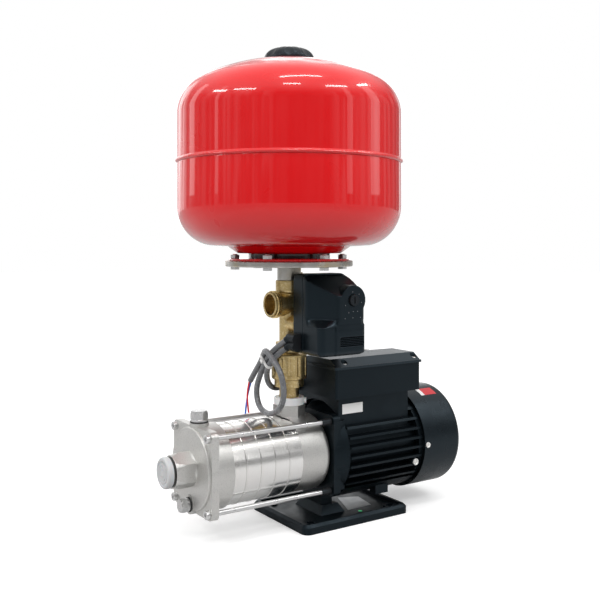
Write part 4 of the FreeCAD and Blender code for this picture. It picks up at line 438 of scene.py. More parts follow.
def turned_to(axis, x, y, z):
    """A placing: the piece's own Z along axis, its origin at x, y, z in millimetres."""
    return Matrix.Translation(mm(x, y, z)) @ AXES[axis].to_4x4()


def moved(piece, matrix):
    piece.data.transform(matrix)
    return piece


def settle(piece, node, finish=None):
    """Gives a piece its finish and its body, and hides the model node that it stands for."""
    piece.data.materials.clear()
    piece.data.materials.append(FINISHES[finish or SLOT_OF[node]])
    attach(piece, BODY_OF[node])
    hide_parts(node)
    return piece


def placed(name, data):
    piece = bpy.data.objects.new(name, data)
    bpy.context.scene.collection.objects.link(piece)
    return piece


def mesh_piece(name, mesh, finish=None, sharp=FACET_ANGLE):
    """An object from a bmesh, smooth but for its sharp edges."""
    data = bpy.data.meshes.new(name)
    mesh.to_mesh(data)
    mesh.free()
    data.shade_smooth()
    data.set_sharp_from_angle(angle=sharp)
    if finish:
        data.materials.append(FINISHES[finish])
    return placed(name, data)


def node_mesh(node):
    """A copy of a model node's mesh with its doubles merged."""
    mesh = bmesh.new()
    mesh.from_mesh(frame["nodes"][node].data)
    bmesh.ops.remove_doubles(mesh, verts=mesh.verts, dist=2e-6)
    return mesh


def baked(piece):
    """Turns a piece's modifiers into plain mesh."""
    graph = bpy.context.evaluated_depsgraph_get()
    done = bpy.data.meshes.new_from_object(piece.evaluated_get(graph))
    piece.modifiers.clear()
    old = piece.data
    piece.data = done
    done.name = piece.name
    bpy.data.meshes.remove(old)
    return piece


def modified(piece, kind, **settings):
    """Adds a modifier with its settings."""
    modifier = piece.modifiers.new(kind.title(), kind)
    for key, choice in settings.items():
        setattr(modifier, key, choice)
    return piece


def rounded(piece, radius):
    """Rounds the sharp edges. Flat faces outweigh them in the shading, and so stay flat."""
    baked(modified(piece, "BEVEL", width=mm(radius), segments=2, limit_method="ANGLE",
                   angle_limit=FACET_ANGLE, use_clamp_overlap=True, harden_normals=False))
    piece.data.shade_smooth()
    piece.data.set_sharp_from_angle(angle=SMOOTH_ANGLE)
    return baked(modified(piece, "WEIGHTED_NORMAL", mode="FACE_AREA", weight=80, keep_sharp=True))


def dressed(node, radius, finish=None):
    """A copy of a model node with its facets merged, its edges rounded and its finish on."""
    mesh = node_mesh(node)
    bmesh.ops.dissolve_limit(mesh, angle_limit=math.radians(0.6), verts=mesh.verts, edges=mesh.edges)
    piece = mesh_piece(node + "_dressed", mesh)
    if radius:
        rounded(piece, radius)
    return settle(piece, node, finish)


def dress_all(edge, **shares):
    """Dresses each named node, with its share of an edge radius."""
    for node, share in shares.items():
        dressed(node, edge * share)


def cast_form(node, grid, passes):
    """A copy of a model node remeshed on a fine grid and eased, so that edges and joins run soft."""
    piece = mesh_piece(node + "_cast", node_mesh(node))
    modified(piece, "REMESH", mode="VOXEL", voxel_size=mm(grid))
    baked(modified(piece, "SMOOTH", factor=0.5, iterations=passes))
    piece.data.shade_smooth()
    return settle(piece, node)


def carved(piece, cutter):
    """Takes one mesh out of another."""
    baked(modified(piece, "BOOLEAN", operation="DIFFERENCE", solver="EXACT", object=cutter,
                   use_self=True))
    bpy.data.objects.remove(cutter)
    piece.data.set_sharp_from_angle(angle=SMOOTH_ANGLE)
    return piece


def merged(piece, *others):
    """Takes other pieces' meshes into a piece, each with its own finish."""
    mesh = bmesh.new()
    mesh.from_mesh(piece.data)
    for other in others:
        first, ahead = len(mesh.faces), len(piece.data.materials)
        mesh.from_mesh(other.data)
        mesh.faces.ensure_lookup_table()
        for face in mesh.faces[first:]:
            face.material_index += ahead
        for finish in other.data.materials:
            piece.data.materials.append(finish)
        bpy.data.objects.remove(other)
    mesh.to_mesh(piece.data)
    mesh.free()
    return piece


def laced(mesh, rings):
    """Fills in the faces between each ring of vertices and the next, all facing out."""
    for before, after in zip(rings, rings[1:]):
        for n in range(len(before)):
            corners = dict.fromkeys((before[n - 1], before[n], after[n], after[n - 1]))
            if len(corners) > 2:
                mesh.faces.new(list(corners))
    bmesh.ops.recalc_face_normals(mesh, faces=mesh.faces)
    return mesh


def swept(name, rings, finish):
    """A closed skin through rings of points in millimetres, with a flat face at each end."""
    mesh = bmesh.new()
    rows = [[mesh.verts.new(mm(*point)) for point in ring] for ring in rings]
    for end in (rows[0], rows[-1]):
        mesh.faces.new(end)
    return mesh_piece(name, laced(mesh, rows), finish)


def plate(name, corners, thick, finish):
    """A thin flat plate over corners in millimetres, raised along its own normal."""
    foot = [Vector(corner) for corner in corners]
    up = (foot[1] - foot[0]).cross(foot[2] - foot[1]).normalized() * thick
    return swept(name, [foot, [corner + up for corner in foot]], finish)


def upright(name, x, y, z, thick, finish):
    """A plate that faces the front, from x[0] to x[1] and z[0] to z[1]."""
    corners = [(x[0], y, z[0]), (x[1], y, z[0]), (x[1], y, z[1]), (x[0], y, z[1])]
    return plate(name, corners, thick, finish)


def lathe(profile, steps, centre=(0, 0, 0), closed=False):
    """A skin revolved round Z. The profile is (radius, height) in millimetres, from the foot up."""
    mesh, offset, rings = bmesh.new(), mm(*centre), []
    circle = [(math.cos(math.tau * n / steps), math.sin(math.tau * n / steps)) for n in range(steps)]
    for radius, height in profile:
        spots = circle if radius else circle[:1]
        ring = [mesh.verts.new(mm(radius * x, radius * y, height) + offset) for x, y in spots]
        rings.append(ring * (steps // len(ring)))
    return laced(mesh, rings + rings[:1] if closed else rings)


def disc(name, radius, thick, finish, matrix, steps=24):
    """A small disc with a chamfered rim."""
    profile = [(0, 0), (radius, 0), (radius, thick * 0.7), (radius * 0.8, thick), (0, thick)]
    return moved(mesh_piece(name, lathe(profile, steps), finish), matrix)


def arc(cx, cy, radius, start, end, steps):
    """Points of an arc, in degrees, its ends included."""
    angles = [math.radians(start + (end - start) * n / steps) for n in range(steps + 1)]
    return [(cx + radius * math.cos(a), cy + radius * math.sin(a)) for a in angles]


def softened(points, radius):
    """A closed outline with a curve in place of each corner that turns by more than 20 degrees."""
    least, steps, out = math.radians(20), 4, []
    for n, corner in enumerate(points):
        back, here, ahead = [Vector(points[k % len(points)]) for k in (n - 1, n, n + 1)]
        to_back, to_ahead = back - here, ahead - here
        turn = math.pi - to_back.angle(to_ahead, math.pi)
        if turn < least:
            out.append(corner)
            continue
        reach = min(radius * math.tan(turn / 2), 0.45 * to_back.length, 0.45 * to_ahead.length)
        first = here + to_back.normalized() * reach
        last = here + to_ahead.normalized() * reach
        for k in range(steps + 1):
            t = k / steps
            out.append(tuple(first * (1 - t) ** 2 + here * 2 * t * (1 - t) + last * t * t))
    return out


def row_tree():
    """A Geometry Nodes tree that lays copies of a piece along a straight line."""
    tree = bpy.data.node_groups.new("Copies in a row", "GeometryNodeTree")
    for label, way, kind in (("Geometry", "INPUT", "Geometry"), ("Count", "INPUT", "Int"),
                             ("Step", "INPUT", "Vector"), ("Finish", "INPUT", "Material"),
                             ("Geometry", "OUTPUT", "Geometry")):
        tree.interface.new_socket(label, in_out=way, socket_type="NodeSocket" + kind)
    source, line, copies, real, paint, out = [tree.nodes.new(kind) for kind in (
        "NodeGroupInput", "GeometryNodeMeshLine", "GeometryNodeInstanceOnPoints",
        "GeometryNodeRealizeInstances", "GeometryNodeSetMaterial", "NodeGroupOutput")]
    for origin, output, target, inlet in (
            (source, "Count", line, "Count"), (source, "Step", line, "Offset"),
            (line, "Mesh", copies, "Points"), (source, "Geometry", copies, "Instance"),
            (copies, "Instances", real, "Geometry"), (real, "Geometry", paint, "Geometry"),
            (source, "Finish", paint, "Material"), (paint, "Geometry", out, "Geometry")):
        tree.links.new(origin.outputs[output], target.inputs[inlet])
    return tree


def in_row(piece, count, step, finish):
    """Runs the row tree on a piece, and keeps the copies as plain mesh."""
    tree = row_tree()
    copies = piece.modifiers.new("Copies", "NODES")
    copies.node_group = tree
    keys = {item.name: item.identifier for item in tree.interface.items_tree if item.in_out == "INPUT"}
    for label, amount in (("Count", count), ("Step", step), ("Finish", FINISHES[finish])):
        copies[keys[label]] = amount
    return baked(piece)


# Camera, floor and lamps

CAMERA_PLACE = (-0.612, -0.853, 0.337)
VIEW = Vector((0.5535, 0.8328, 0.0))
RIGHT = Vector((0.8328, -0.5535, 0.0))
FLOOR_RADIUS = 9
FLOOR_GLOW = 0.27
FLOOR_SHARES = (0.3, 0.4)  # of its colour: what glossy rays add, and what all but the camera's see

# Soft boxes: bearing to the right of the camera in degrees, width in metres, share of the strip light
STRIPS = ((-108, 0.24, 1.0), (-72, 0.1, 0.7), (60, 0.16, 0.7), (92, 0.34, 0.9))
STRIP_HEIGHT, STRIP_RISE, STRIP_DISTANCE, STRIP_AIM = 1.2, 0.62, 1.5, Vector((-0.061, 0, 0.45))
# Ceiling lamps: bearing, height angle, width
CEILING = ((-74, 27, 0.45), (-45, 29, 0.6), (21, 67, 0.9), (4, 42, 0.4), (53, 37, 0.6), (94, 39, 0.45))
CEILING_DEPTH, CEILING_DISTANCE, CEILING_AIM = 0.1, 1.6, Vector((-0.061, 0, 0.52))

# What shiny skin sees of the walls, from the far wall (0) to the wall behind the camera (1)
WALL_LEVELS = ((0.0, 1.0), (0.06, 0.9), (0.13, 0.22), (0.2, 0.1), (0.34, 0.13), (0.5, 0.21), (0.9, 0.2),
               (0.96, 0.07), (1.0, 0.05))


def soft_lamp(name, place, aim, size, brightness):
    """A soft box of one brightness, whatever its size."""
    data = bpy.data.lights.new(name, "AREA")
    data.shape = "RECTANGLE"
    data.size, data.size_y = size
    data.energy = brightness * math.pi * size[0] * size[1]
    lamp = placed(name, data)
    lamp.location = place
    lamp.rotation_euler = (aim - place).to_track_quat("-Z", "Y").to_euler()


def toward(bearing, elevation, distance, aim):
    """A place seen from aim at a bearing to the right of the camera, and at a height angle."""
    b, e = math.radians(bearing), math.radians(elevation)
    level = -VIEW * math.cos(b) + RIGHT * math.sin(b)
    return aim + distance * (level * math.cos(e) + Vector((0, 0, math.sin(e))))


def world_light(room_light):
    """White for the camera and glass, even light for matt skin, a dark room with a sky for shine."""
    world = bpy.data.worlds.new("Studio")
    bpy.context.scene.world = world
    graph = Graph(world)
    graph.nodes.clear()
    rays = graph.add("LightPath").outputs
    direction = graph.add("TexCoord").outputs["Generated"]
    rise = graph.add("SeparateXYZ", {0: direction}).outputs["Z"]

    def backdrop(strength):
        return graph.add("Background", {"Color": (1, 1, 1, 1), "Strength": strength}).outputs[0]

    def chosen(factor, no, yes):
        return graph.add("MixShader", {"Fac": factor, 1: no, 2: yes}).outputs[0]

    facing = graph.add("VectorMath", {0: direction, 1: -VIEW + RIGHT * 0.25}, operation="DOT_PRODUCT")
    walls = graph.add("ValToRGB", {"Fac": graph.span(facing.outputs["Value"], -1, 1)})
    stops = walls.color_ramp.elements
    for place, level in WALL_LEVELS:
        stop = stops[0] if place == 0 else stops[-1] if place == 1 else stops.new(place)
        stop.color = (level, level, level, 1)
    flattened = graph.add("VectorMath", {0: direction, 1: (1, 1, 0.06)}, operation="MULTIPLY")
    streaks = graph.add("TexNoise", {"Scale": 11, "Detail": 4, "Vector": flattened.outputs["Vector"]})
    shares = graph.span(streaks.outputs["Fac"], 0.38, 0.64, 0.55, 2.9, interpolation_type="SMOOTHSTEP")
    streaked = graph.joined("MULTIPLY", walls.outputs["Color"], shares)
    sky = graph.span(rise, 0.25, 0.8, interpolation_type="SMOOTHSTEP")
    light = chosen(rays["Is Glossy Ray"], backdrop(room_light),
                   backdrop(graph.joined("MAXIMUM", streaked, sky)))
    seen = graph.joined("MAXIMUM", rays["Is Camera Ray"], rays["Is Transmission Ray"])
    graph.add("OutputWorld", {"Surface": chosen(seen, light, backdrop(1.0))})


def floor_finish(base):
    """Pale floor with a little light of its own: it comes out white but keeps the soft shadow."""
    material = bpy.data.materials.new("Studio floor")
    graph = Graph(material)
    rays = graph.add("LightPath").outputs
    share = graph.joined("MULTIPLY_ADD", rays["Is Glossy Ray"], *FLOOR_SHARES)
    bright = graph.joined("MAXIMUM", share, rays["Is Camera Ray"])
    shade = graph.add("VectorMath", {0: base, "Scale": bright}, operation="SCALE").outputs["Vector"]
    shader = graph.nodes["Principled BSDF"]
    glow = graph.joined("MULTIPLY", rays["Is Camera Ray"], FLOOR_GLOW)
    for socket, value in (("Base Color", shade), ("Roughness", 0.9), ("Specular IOR Level", 0.0),
                          ("Emission Color", (1, 1, 1, 1)), ("Emission Strength", glow)):
        graph.feed(shader.inputs[socket], value)
    return material


class PUMP_OT_stage(bpy.types.Operator):
    """Places the camera, the pale floor, the soft boxes and the studio world"""
    bl_idname = "pump.stage"
    bl_label = "Stage"

    def execute(self, context):
        look = context.scene.pump_stage
        data = bpy.data.cameras.new("Photo camera")
        data.lens, data.sensor_width, data.shift_y = look.lens, 36, look.shift
        data.clip_start, data.clip_end = 0.01, 50
        camera = placed("Photo camera", data)
        camera.location = CAMERA_PLACE
        camera.rotation_euler = (math.pi / 2, 0, look.heading)
        context.scene.camera = camera

        mesh = bmesh.new()
        bmesh.ops.create_circle(mesh, cap_ends=True, radius=FLOOR_RADIUS, segments=96)
        floor = mesh_piece("studio_floor", mesh)
        floor.data.materials.append(floor_finish(look.floor))
        floor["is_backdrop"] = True

        world_light(look.room_light)
        for bearing, width, share in STRIPS:
            place = toward(bearing, 0, STRIP_DISTANCE, STRIP_AIM) + Vector((0, 0, STRIP_RISE))
            aim = Vector((*STRIP_AIM.xy, place.z))
            soft_lamp("Strip %d" % bearing, place, aim, (width, STRIP_HEIGHT), look.strip_light * share)
        for bearing, elevation, width in CEILING:
            place = toward(bearing, elevation, CEILING_DISTANCE, CEILING_AIM)
            soft_lamp("Ceiling lamp %d" % bearing, place, CEILING_AIM, (width, CEILING_DEPTH),
                      look.ceiling_light)
        context.scene.view_settings.view_transform = "Standard"
        return {"FINISHED"}


# Cords: the same points as the part's routes, in millimetres

SUPPLY_ROUTE = [
    (-80.33, -22.76, 221.37), (-87, -12.9, 213.1), (-91, -0.5, 201.1), (-91, 10, 188.7),
    (-88.5, 23, 175.5), (-87.5, 33, 160), (-88, 32, 147), (-89, 23.5, 136.3), (-90.8, 8.5, 132.5),
    (-92.6, -9, 133.4), (-94, -26, 139.5), (-95.8, -40.5, 151.5), (-97.4, -46, 169),
    (-99, -40.5, 188.5), (-99.9, -23.5, 203), (-98, -4.6, 210.4), (-91.6, 8.8, 202.6),
    (-91.1, 20, 189.2), (-90, 33.5, 177.5), (-88, 47, 165.5),
]
LEAD_ROUTE = [
    (-80.33, -22.76, 212.37), (-85.62, -14.94, 205.81), (-91, -5.9, 195.3), (-91, 3, 184.9),
    (-86.5, 10.5, 172.5), (-77, 19.5, 162.5), (-66, 27, 156.7), (-54, 30.2, 155.9), (-42, 30, 158),
]
BLUE_ROUTE = [(-86.6, 47.2, 165.3), (-86.9, 54, 152), (-87.5, 58.5, 136), (-88, 60.5, 119)]
RED_ROUTE = [(-89.4, 47.4, 164.9), (-90.4, 51.5, 151), (-91.2, 49, 136), (-91, 46.4, 125.4)]
SUPPLY_LENGTH, LEAD_LENGTH, BLUE_LENGTH, RED_LENGTH = 0.322, 0.106, 0.049, 0.040


def cord_curve(name, node, route, diameter, cord_length, finish):
    """A cord as one smooth NURBS line through its route."""
    data = bpy.data.curves.new(name, "CURVE")
    data.dimensions = "3D"
    data.bevel_depth = mm(diameter) / 2
    data.bevel_resolution = 5
    data.use_fill_caps = True
    data.resolution_u = 10
    spline = data.splines.new("NURBS")
    spline.points.add(len(route) - 1)
    for point, place in zip(spline.points, route):
        point.co = (*mm(*place), 1)
    spline.order_u = 3
    spline.use_endpoint_u = True
    piece = settle(placed(name, data), node, finish)
    mm(*route[0])
    mm(diameter)


class PUMP_OT_cords(bpy.types.Operator):
    """Lays the looped supply cable, its two bare leads, the motor lead and the cable tie"""
    bl_idname = "pump.cords"
    bl_label = "Cords"

    def execute(self, context):
        sizes = context.scene.pump_sizes
        tie = dressed("cable_tie", 0.3)
        cable, wire = sizes.cable_diameter, sizes.wire_diameter
        cord_curve("blue_lead", "blue_wire", BLUE_ROUTE, wire, BLUE_LENGTH, "wire_blue")
        cord_curve("red_lead", "red_wire", RED_ROUTE, wire, RED_LENGTH, "wire_red")
        cord_curve("supply_cord", "supply_cable", SUPPLY_ROUTE, cable, SUPPLY_LENGTH,
                   "cable_grey")
        cord_curve("motor_cord", "motor_lead", LEAD_ROUTE, cable, LEAD_LENGTH, "cable_grey")
        return {"FINISHED"}


# Tank and air valve cap. Each profile is (radius, height) in millimetres

TANK_FOOT = ((15, 0), (73, 0), (73, 2.5), (50, 2.5), (50, 9), (63, 9), (74.5, 17))
TANK_FOOT_ROOM = ((72.5, 19), (61, 11), (48, 11), (48, 2.5), (15, 2.5))
FOOT_EASE = 0.8
# The weld bead, proud of the wall and above the seam
BEAD = ((0, 0), (0.5, 0.4), (1.35, 1.2), (1.75, 2.3), (1.4, 3.5), (0.6, 4.4), (0, 5.2))
RIPPLE_DEPTH, SWELL_DEPTH, SWELLS = 0.26, 0.12, 23
LOWER_BEND_HEIGHT, UPPER_BEND_HEIGHT = 65.5, 59.5
CAP_CREST = ((12.4, 0), (11.6, -0.5), (9.5, -1.6), (5, -2.2), (0, -2.3))  # below the cap's peak
CAP_DROP = 3  # the cap's peak below its solid's top, as the photo has it
CAP_DENTS, DENT_HEIGHT, DENT_RADIUS, DENT_DEPTH, DENT_RIM = 8, 8.5, 6.2, 1.5, 0.5


class PUMP_OT_tank(bpy.types.Operator):
    """Turns the two tank shells with the weld bead between them, and the dented air valve cap"""
    bl_idname = "pump.tank"
    bl_label = "Tank"

    knuckle: length("Knuckle radius", "Bend between the wall and the dome", 46, 1)
    foot: length("Bottom knuckle", "Bend between the wall and the foot", 48, 1)
    crown: length("Crown radius", "Curve of the dome", 250, 150)
    wall: length("Wall", "Thickness of the shell", 2, 0.5)
    grip_turn: setting("Grip turn", "Bearing of the cap's first finger dent", math.radians(-122.9),
                       subtype="ANGLE")
    ripples: setting("Weld ripples", "Ripples round the weld bead", 150, IntProperty, min=0)

    def lower_shell(self, r, steps, axis):
        base, seam = low("tank_lower_shell").z, low("tank_upper_shell").z
        height, bend = base + LOWER_BEND_HEIGHT, r - self.foot
        outside = [*((x, base + z) for x, z in TANK_FOOT), *arc(bend, height, self.foot, -78, 0, 20),
                   (r, seam)]
        inner_bend = arc(bend, height, self.foot - self.wall, -78, 0, 12)
        inside = [(r - self.wall, seam), *inner_bend[::-1],
                  *((x, base + z) for x, z in TANK_FOOT_ROOM)]
        mesh = lathe(softened(outside + inside, FOOT_EASE), steps, axis, closed=True)
        settle(mesh_piece("tank_lower_skin", mesh), "tank_lower_shell")

    def upper_shell(self, r, steps, axis):
        seam, top = low("tank_upper_shell").z, high("tank_upper_shell").z
        height, bend = seam + UPPER_BEND_HEIGHT, r - self.knuckle
        tilt = 90 - math.degrees(math.asin(bend / (self.crown - self.knuckle)))
        rim = 90 - math.degrees((high("air_valve").x - OUTLET_X + 0.2) / self.crown)

        def skin(inset, knuckle_steps, dome_steps):
            knuckle = arc(bend, height, self.knuckle - inset, 0, tilt, knuckle_steps)
            return knuckle + arc(0, top - self.crown, self.crown - inset, tilt, rim, dome_steps)[1:]

        outside = [(r + x, seam + z) for x, z in BEAD] + skin(0, 28, 40)
        inside = skin(self.wall, 14, 20)[::-1] + [(r - self.wall, seam)]
        mesh = lathe(outside + inside, steps * 3, axis, closed=True)
        for vertex in mesh.verts:
            place = vertex.co * 1000 - Vector(axis)
            if place.xy.length > r + 0.2:
                bearing = math.atan2(place.y, place.x)
                wave = RIPPLE_DEPTH * abs(math.sin(self.ripples * bearing / 2))
                wave += SWELL_DEPTH * math.sin(bearing * SWELLS) ** 3
                vertex.co.xy += mm(1) * wave * place.xy.normalized()
        settle(mesh_piece("tank_upper_skin", mesh), "tank_upper_shell")

    def cap(self, steps, axis):
        foot, r = low("air_valve_cap").z, high("air_valve_cap").x - OUTLET_X
        peak, shoulder = high("air_valve_cap").z - CAP_DROP, foot + 2.4
        dome = [(r - 0.4, foot), (r, foot + 0.5), (r, shoulder)]
        for n in range(1, 20):
            a = math.radians(4.5 * n)
            dome.append((r - (r - 13) * (1 - math.cos(a)),
                         shoulder + (peak - shoulder - 0.2) * math.sin(a)))
        dome += [(x, peak + z) for x, z in CAP_CREST]
        room = [(0, foot + 10), (6.5, foot + 10), (7.2, foot + 1.2), (r - 3, foot + 0.2)]
        mesh = lathe(dome + room, steps, axis, closed=True)
        for vertex in mesh.verts:
            place = vertex.co * 1000 - Vector(axis)
            if place.z > foot + 1 and place.xy.length > 12:
                turn = (math.atan2(place.y, place.x) - self.grip_turn) / (math.tau / CAP_DENTS)
                side = (turn - round(turn)) * math.tau / CAP_DENTS * place.xy.length
                reach = math.hypot(side, place.z - foot - DENT_HEIGHT) / DENT_RADIUS
                dent = DENT_DEPTH * max(0.0, 1 - reach * reach)
                dent += DENT_RIM * math.exp(-((reach - 1.15) / 0.12) ** 2)
                vertex.co -= mm(1) * dent * Vector((place.x, place.y, 14)).normalized()
        settle(mesh_piece("air_cap_skin", mesh, sharp=math.radians(50)), "air_valve_cap")

    def execute(self, context):
        steps, axis = context.scene.pump_sizes.round_steps, (OUTLET_X, 0, 0)
        radius = high("tank_lower_shell").x - OUTLET_X
        self.lower_shell(radius, steps, axis)
        self.upper_shell(radius, steps, axis)
        self.cap(steps, axis)
        dressed("air_valve", 0.2, "turned_brass")
        return {"FINISHED"}


class PUMP_OT_flange(bpy.types.Operator):
    """Finishes the counterflange, its bolts and the nipple below it"""
    bl_idname = "pump.flange"
    bl_label = "Counterflange"

    def execute(self, context):
        edge = context.scene.pump_sizes.machined_edge
        dress_all(edge, counterflange=2, flange_bolts=1, tank_nipple=1)
        return {"FINISHED"}


# Brass outlet column

THREAD_CREST, THREAD_DEPTH, THREAD_RUN = 16.6, 1.25, 10.8


def helical_ridge(name, root, crest, pitch, run, finish):
    """A screw thread's ridge round Z, in millimetres, fading into the root at both ends."""
    per_turn, flank, tip = 64, 0.42 * pitch, 0.1 * pitch
    count = int((run / pitch - 0.6) * per_turn)
    rings = []
    for n in range(count + 1):
        angle, rise = math.tau * n / per_turn, pitch * (0.3 + n / per_turn)
        top = root + (crest - root) * min(1.0, n / (per_turn * 0.35), (count - n) / (per_turn * 0.35))
        outline = ((root - 0.3, -flank), (top, -tip), (top, tip), (root - 0.3, flank))
        rings.append([(r * math.cos(angle), r * math.sin(angle), rise + dz) for r, dz in outline])
    return swept(name, rings, finish)


def threaded_manifold(pitch):
    """The manifold, its side outlet turned down to the thread's root, with the thread's ridge."""
    end, root = low("brass_manifold").x, THREAD_CREST - THREAD_DEPTH
    height = next(m["pos_m"][2] for m in RECORD["mounts"] if m["name"] == "side_outlet") * 1000
    piece = cast_form("brass_manifold", 0.6, 3)
    for vertex in piece.data.vertices:
        x, y, z = vertex.co * 1000
        out = math.hypot(y, z - height)
        if x < end + THREAD_RUN + 0.5 and out > THREAD_CREST - 1.5:
            share = (root - (0.8 if x < end + 0.2 else 0)) / out
            vertex.co.y, vertex.co.z = mm(y * share), mm(height + (z - height) * share)
    ridge = helical_ridge("outlet_thread", root, THREAD_CREST - 0.05, pitch, THREAD_RUN - 1.5,
                          "turned_brass")
    merged(piece, moved(ridge, turned_to("-X", end + THREAD_RUN, 0, height)))


def shortening_spring():
    """The check valve's spring, dressed as it is and given a mesh of its own."""
    spring = dressed("check_valve_spring", 0)
    mm(OUTLET_X)
    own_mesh(spring)


class PUMP_OT_column(bpy.types.Operator):
    """Finishes the collar, check valve, manifold and its threaded side outlet"""
    bl_idname = "pump.column"
    bl_label = "Brass column"

    def execute(self, context):
        sizes = context.scene.pump_sizes
        edge = sizes.machined_edge
        dress_all(edge, outlet_collar=2, check_valve_body=2)
        threaded_manifold(sizes.thread_pitch)
        dressed("gauge_plug", edge, "turned_brass")
        shortening_spring()
        return {"FINISHED"}


# Pressure controller

# Upright corners to round: side in x, side in z, radius
COVER_CORNERS = ((1, -1, 11), (-1, -1, 7), (-1, 1, 4))
# Dots round the dial: across and up from its middle
DIAL_DOTS = ((-1.8, 9.6), (7.6, 6.7), (-12.2, -5.7), (11, -3), (-7.4, -14.4), (-1, -13.2),
             (5.4, -13.2), (-12.8, -21), (-1.4, -20.5), (9.6, -20.5))
DOT_DEPTH = 1.75  # behind the cover's foremost face
WINDOW_X, WINDOW_Z, WINDOW_DEPTH = (-42.8, -9.2), (217.3, 227.8), 3.1
BARS, BAR_STEP, BAR_WIDTH = 5, 1.9, 0.7


def turn_corner(piece, node, x_side, z_side, radius):
    """Draws in the vertices of an upright outside corner onto a round one."""
    rim = high(node).z if z_side > 0 else low(node).z
    near = [v.co.x * 1000 for v in piece.data.vertices if abs(v.co.z * 1000 - rim) < 25]
    cx, cz = x_side * max(x_side * x for x in near) - x_side * radius, rim - z_side * radius
    for vertex in piece.data.vertices:
        dx, dz = vertex.co.x * 1000 - cx, vertex.co.z * 1000 - cz
        far = math.hypot(dx, dz)
        if dx * x_side > 0 and dz * z_side > 0 and far > radius:
            vertex.co.x, vertex.co.z = mm(cx + dx * radius / far), mm(cz + dz * radius / far)


def face_details():
    """Dots round the dial, and a near-black sheet behind the window's bars: painted shade in the window's depth.
    """
    face = low("controller_cover").y
    pane = face + WINDOW_DEPTH
    for across, up in DIAL_DOTS:
        spot = turned_to("-Y", DIAL.x + across, face + DOT_DEPTH, DIAL.z + up)
        yield disc("dial_dot", 0.6, 0.4, "pale_print", spot, 12)
    # Painted shade: a near-black sheet set behind the bars
    yield upright("window_shade_sheet", WINDOW_X, pane, WINDOW_Z, 0.6, "window_painted_shade")
    first = WINDOW_Z[0] + 1
    bar = upright("window_bars", WINDOW_X, pane - 0.5, (first, first + BAR_WIDTH), 0.9,
                  "control_plastic")
    yield in_row(bar, BARS, mm(0, 0, BAR_STEP), "control_plastic")


class PUMP_OT_controller(bpy.types.Operator):
    """Finishes the controller's two housings, the dial and the double cable gland"""
    bl_idname = "pump.controller"
    bl_label = "Controller"

    def execute(self, context):
        edge = context.scene.pump_sizes.moulded_edge
        back = cast_form("controller_back", 0.8, 4)
        cover = cast_form("controller_cover", 0.7, 5)
        for x_side, z_side, radius in COVER_CORNERS:
            turn_corner(cover, "controller_cover", x_side, z_side, radius)
            turn_corner(back, "controller_back", x_side, z_side, radius + 1)
        merged(cover, *face_details())
        dress_all(edge, pressure_dial=0.3, cable_gland=1)
        return {"FINISHED"}


# Pump casing, stages, front cover and what is screwed to them

class PUMP_OT_casing(bpy.types.Operator):
    """Finishes the outlet casing, the polished stages and the front cover"""
    bl_idname = "pump.casing"
    bl_label = "Casing"

    def execute(self, context):
        sizes = context.scene.pump_sizes
        dressed("outlet_casing", sizes.casting_edge)
        dressed("stage_chambers", sizes.machined_edge)
        dressed("front_cover", sizes.casting_edge * 0.55)
        return {"FINISHED"}


INLET_RINGS, RING_WIDTH, RING_DEPTH = (4.5, 8.0, 11.5), 0.8, 0.5


class PUMP_OT_plugs(bpy.types.Operator):
    """Finishes the inlet cap, the priming plug and the drain plug"""
    bl_idname = "pump.plugs"
    bl_label = "Caps and plugs"

    def execute(self, context):
        edge = context.scene.pump_sizes.machined_edge
        cap = dressed("inlet_cap", edge * 2)
        for inner in INLET_RINGS:
            outer = inner + RING_WIDTH
            profile = [(inner, -RING_DEPTH), (outer, -RING_DEPTH), (outer, RING_DEPTH),
                       (inner, RING_DEPTH)]
            groove = mesh_piece("ring_cutter", lathe(profile, 64, closed=True))
            carved(cap, moved(groove, turned_to("-X", low("inlet_cap").x, 0, SHAFT_HEIGHT)))
        dressed("inlet_cap_seal", edge)
        for node in ("priming_plug", "drain_plug"):
            dressed(node, edge, "shaft_steel")
        for node in ("priming_washer", "drain_washer"):
            dressed(node, 0)
        return {"FINISHED"}


class PUMP_OT_tie_bolts(bpy.types.Operator):
    """Finishes the tie bolts with their sockets and the dark sleeves"""
    bl_idname = "pump.tie_bolts"
    bl_label = "Tie bolts"

    def execute(self, context):
        dress_all(context.scene.pump_sizes.machined_edge, tie_bolts=1, tie_bolt_sleeves=1)
        return {"FINISHED"}


# Motor

COWL_SCREWS, COWL_LABEL_START = (180, 300, 60), 108  # degrees round the shaft
COWL_BANDS = (("cowl_label_white", "label", 124, 130), ("cowl_label_red", "label_red", 130, 150))
SADDLE_LABEL_X, SADDLE_LABEL_Z, SADDLE_SIDE = (-13, 18), (130, 142), -44.05
# Crosses in screw heads: length and width of a stroke, and depth
COWL_CROSS, EARTH_CROSS = (4.2, 0.9, 0.6), (6.4, 1.2, 0.7)


def crossed(piece, matrix, long, wide, deep):
    """Cuts a cross into a screw head: the matrix takes Z out of the head's face."""
    mesh = bmesh.new()
    for size in ((long, wide), (wide, long)):
        cube = bmesh.ops.create_cube(mesh, size=1)
        bmesh.ops.scale(mesh, vec=mm(*size, deep * 2), verts=cube["verts"])
    return carved(piece, moved(mesh_piece("cross_cutter", mesh), matrix))


def cowl_cross(screws, degrees):
    """A cross in the head of the cowl screw at that angle round the shaft."""
    shaft, angle = mm(0, 0, SHAFT_HEIGHT), math.radians(degrees)
    out = Vector((0, math.cos(angle), math.sin(angle)))
    reach = max((v.co - shaft).dot(out) for v in screws.data.vertices)
    place = Matrix.Translation(mm(middle("fan_cover_screws").x, 0, SHAFT_HEIGHT) + out * reach)
    crossed(screws, place @ out.to_track_quat("Z", "X").to_matrix().to_4x4(), *COWL_CROSS)


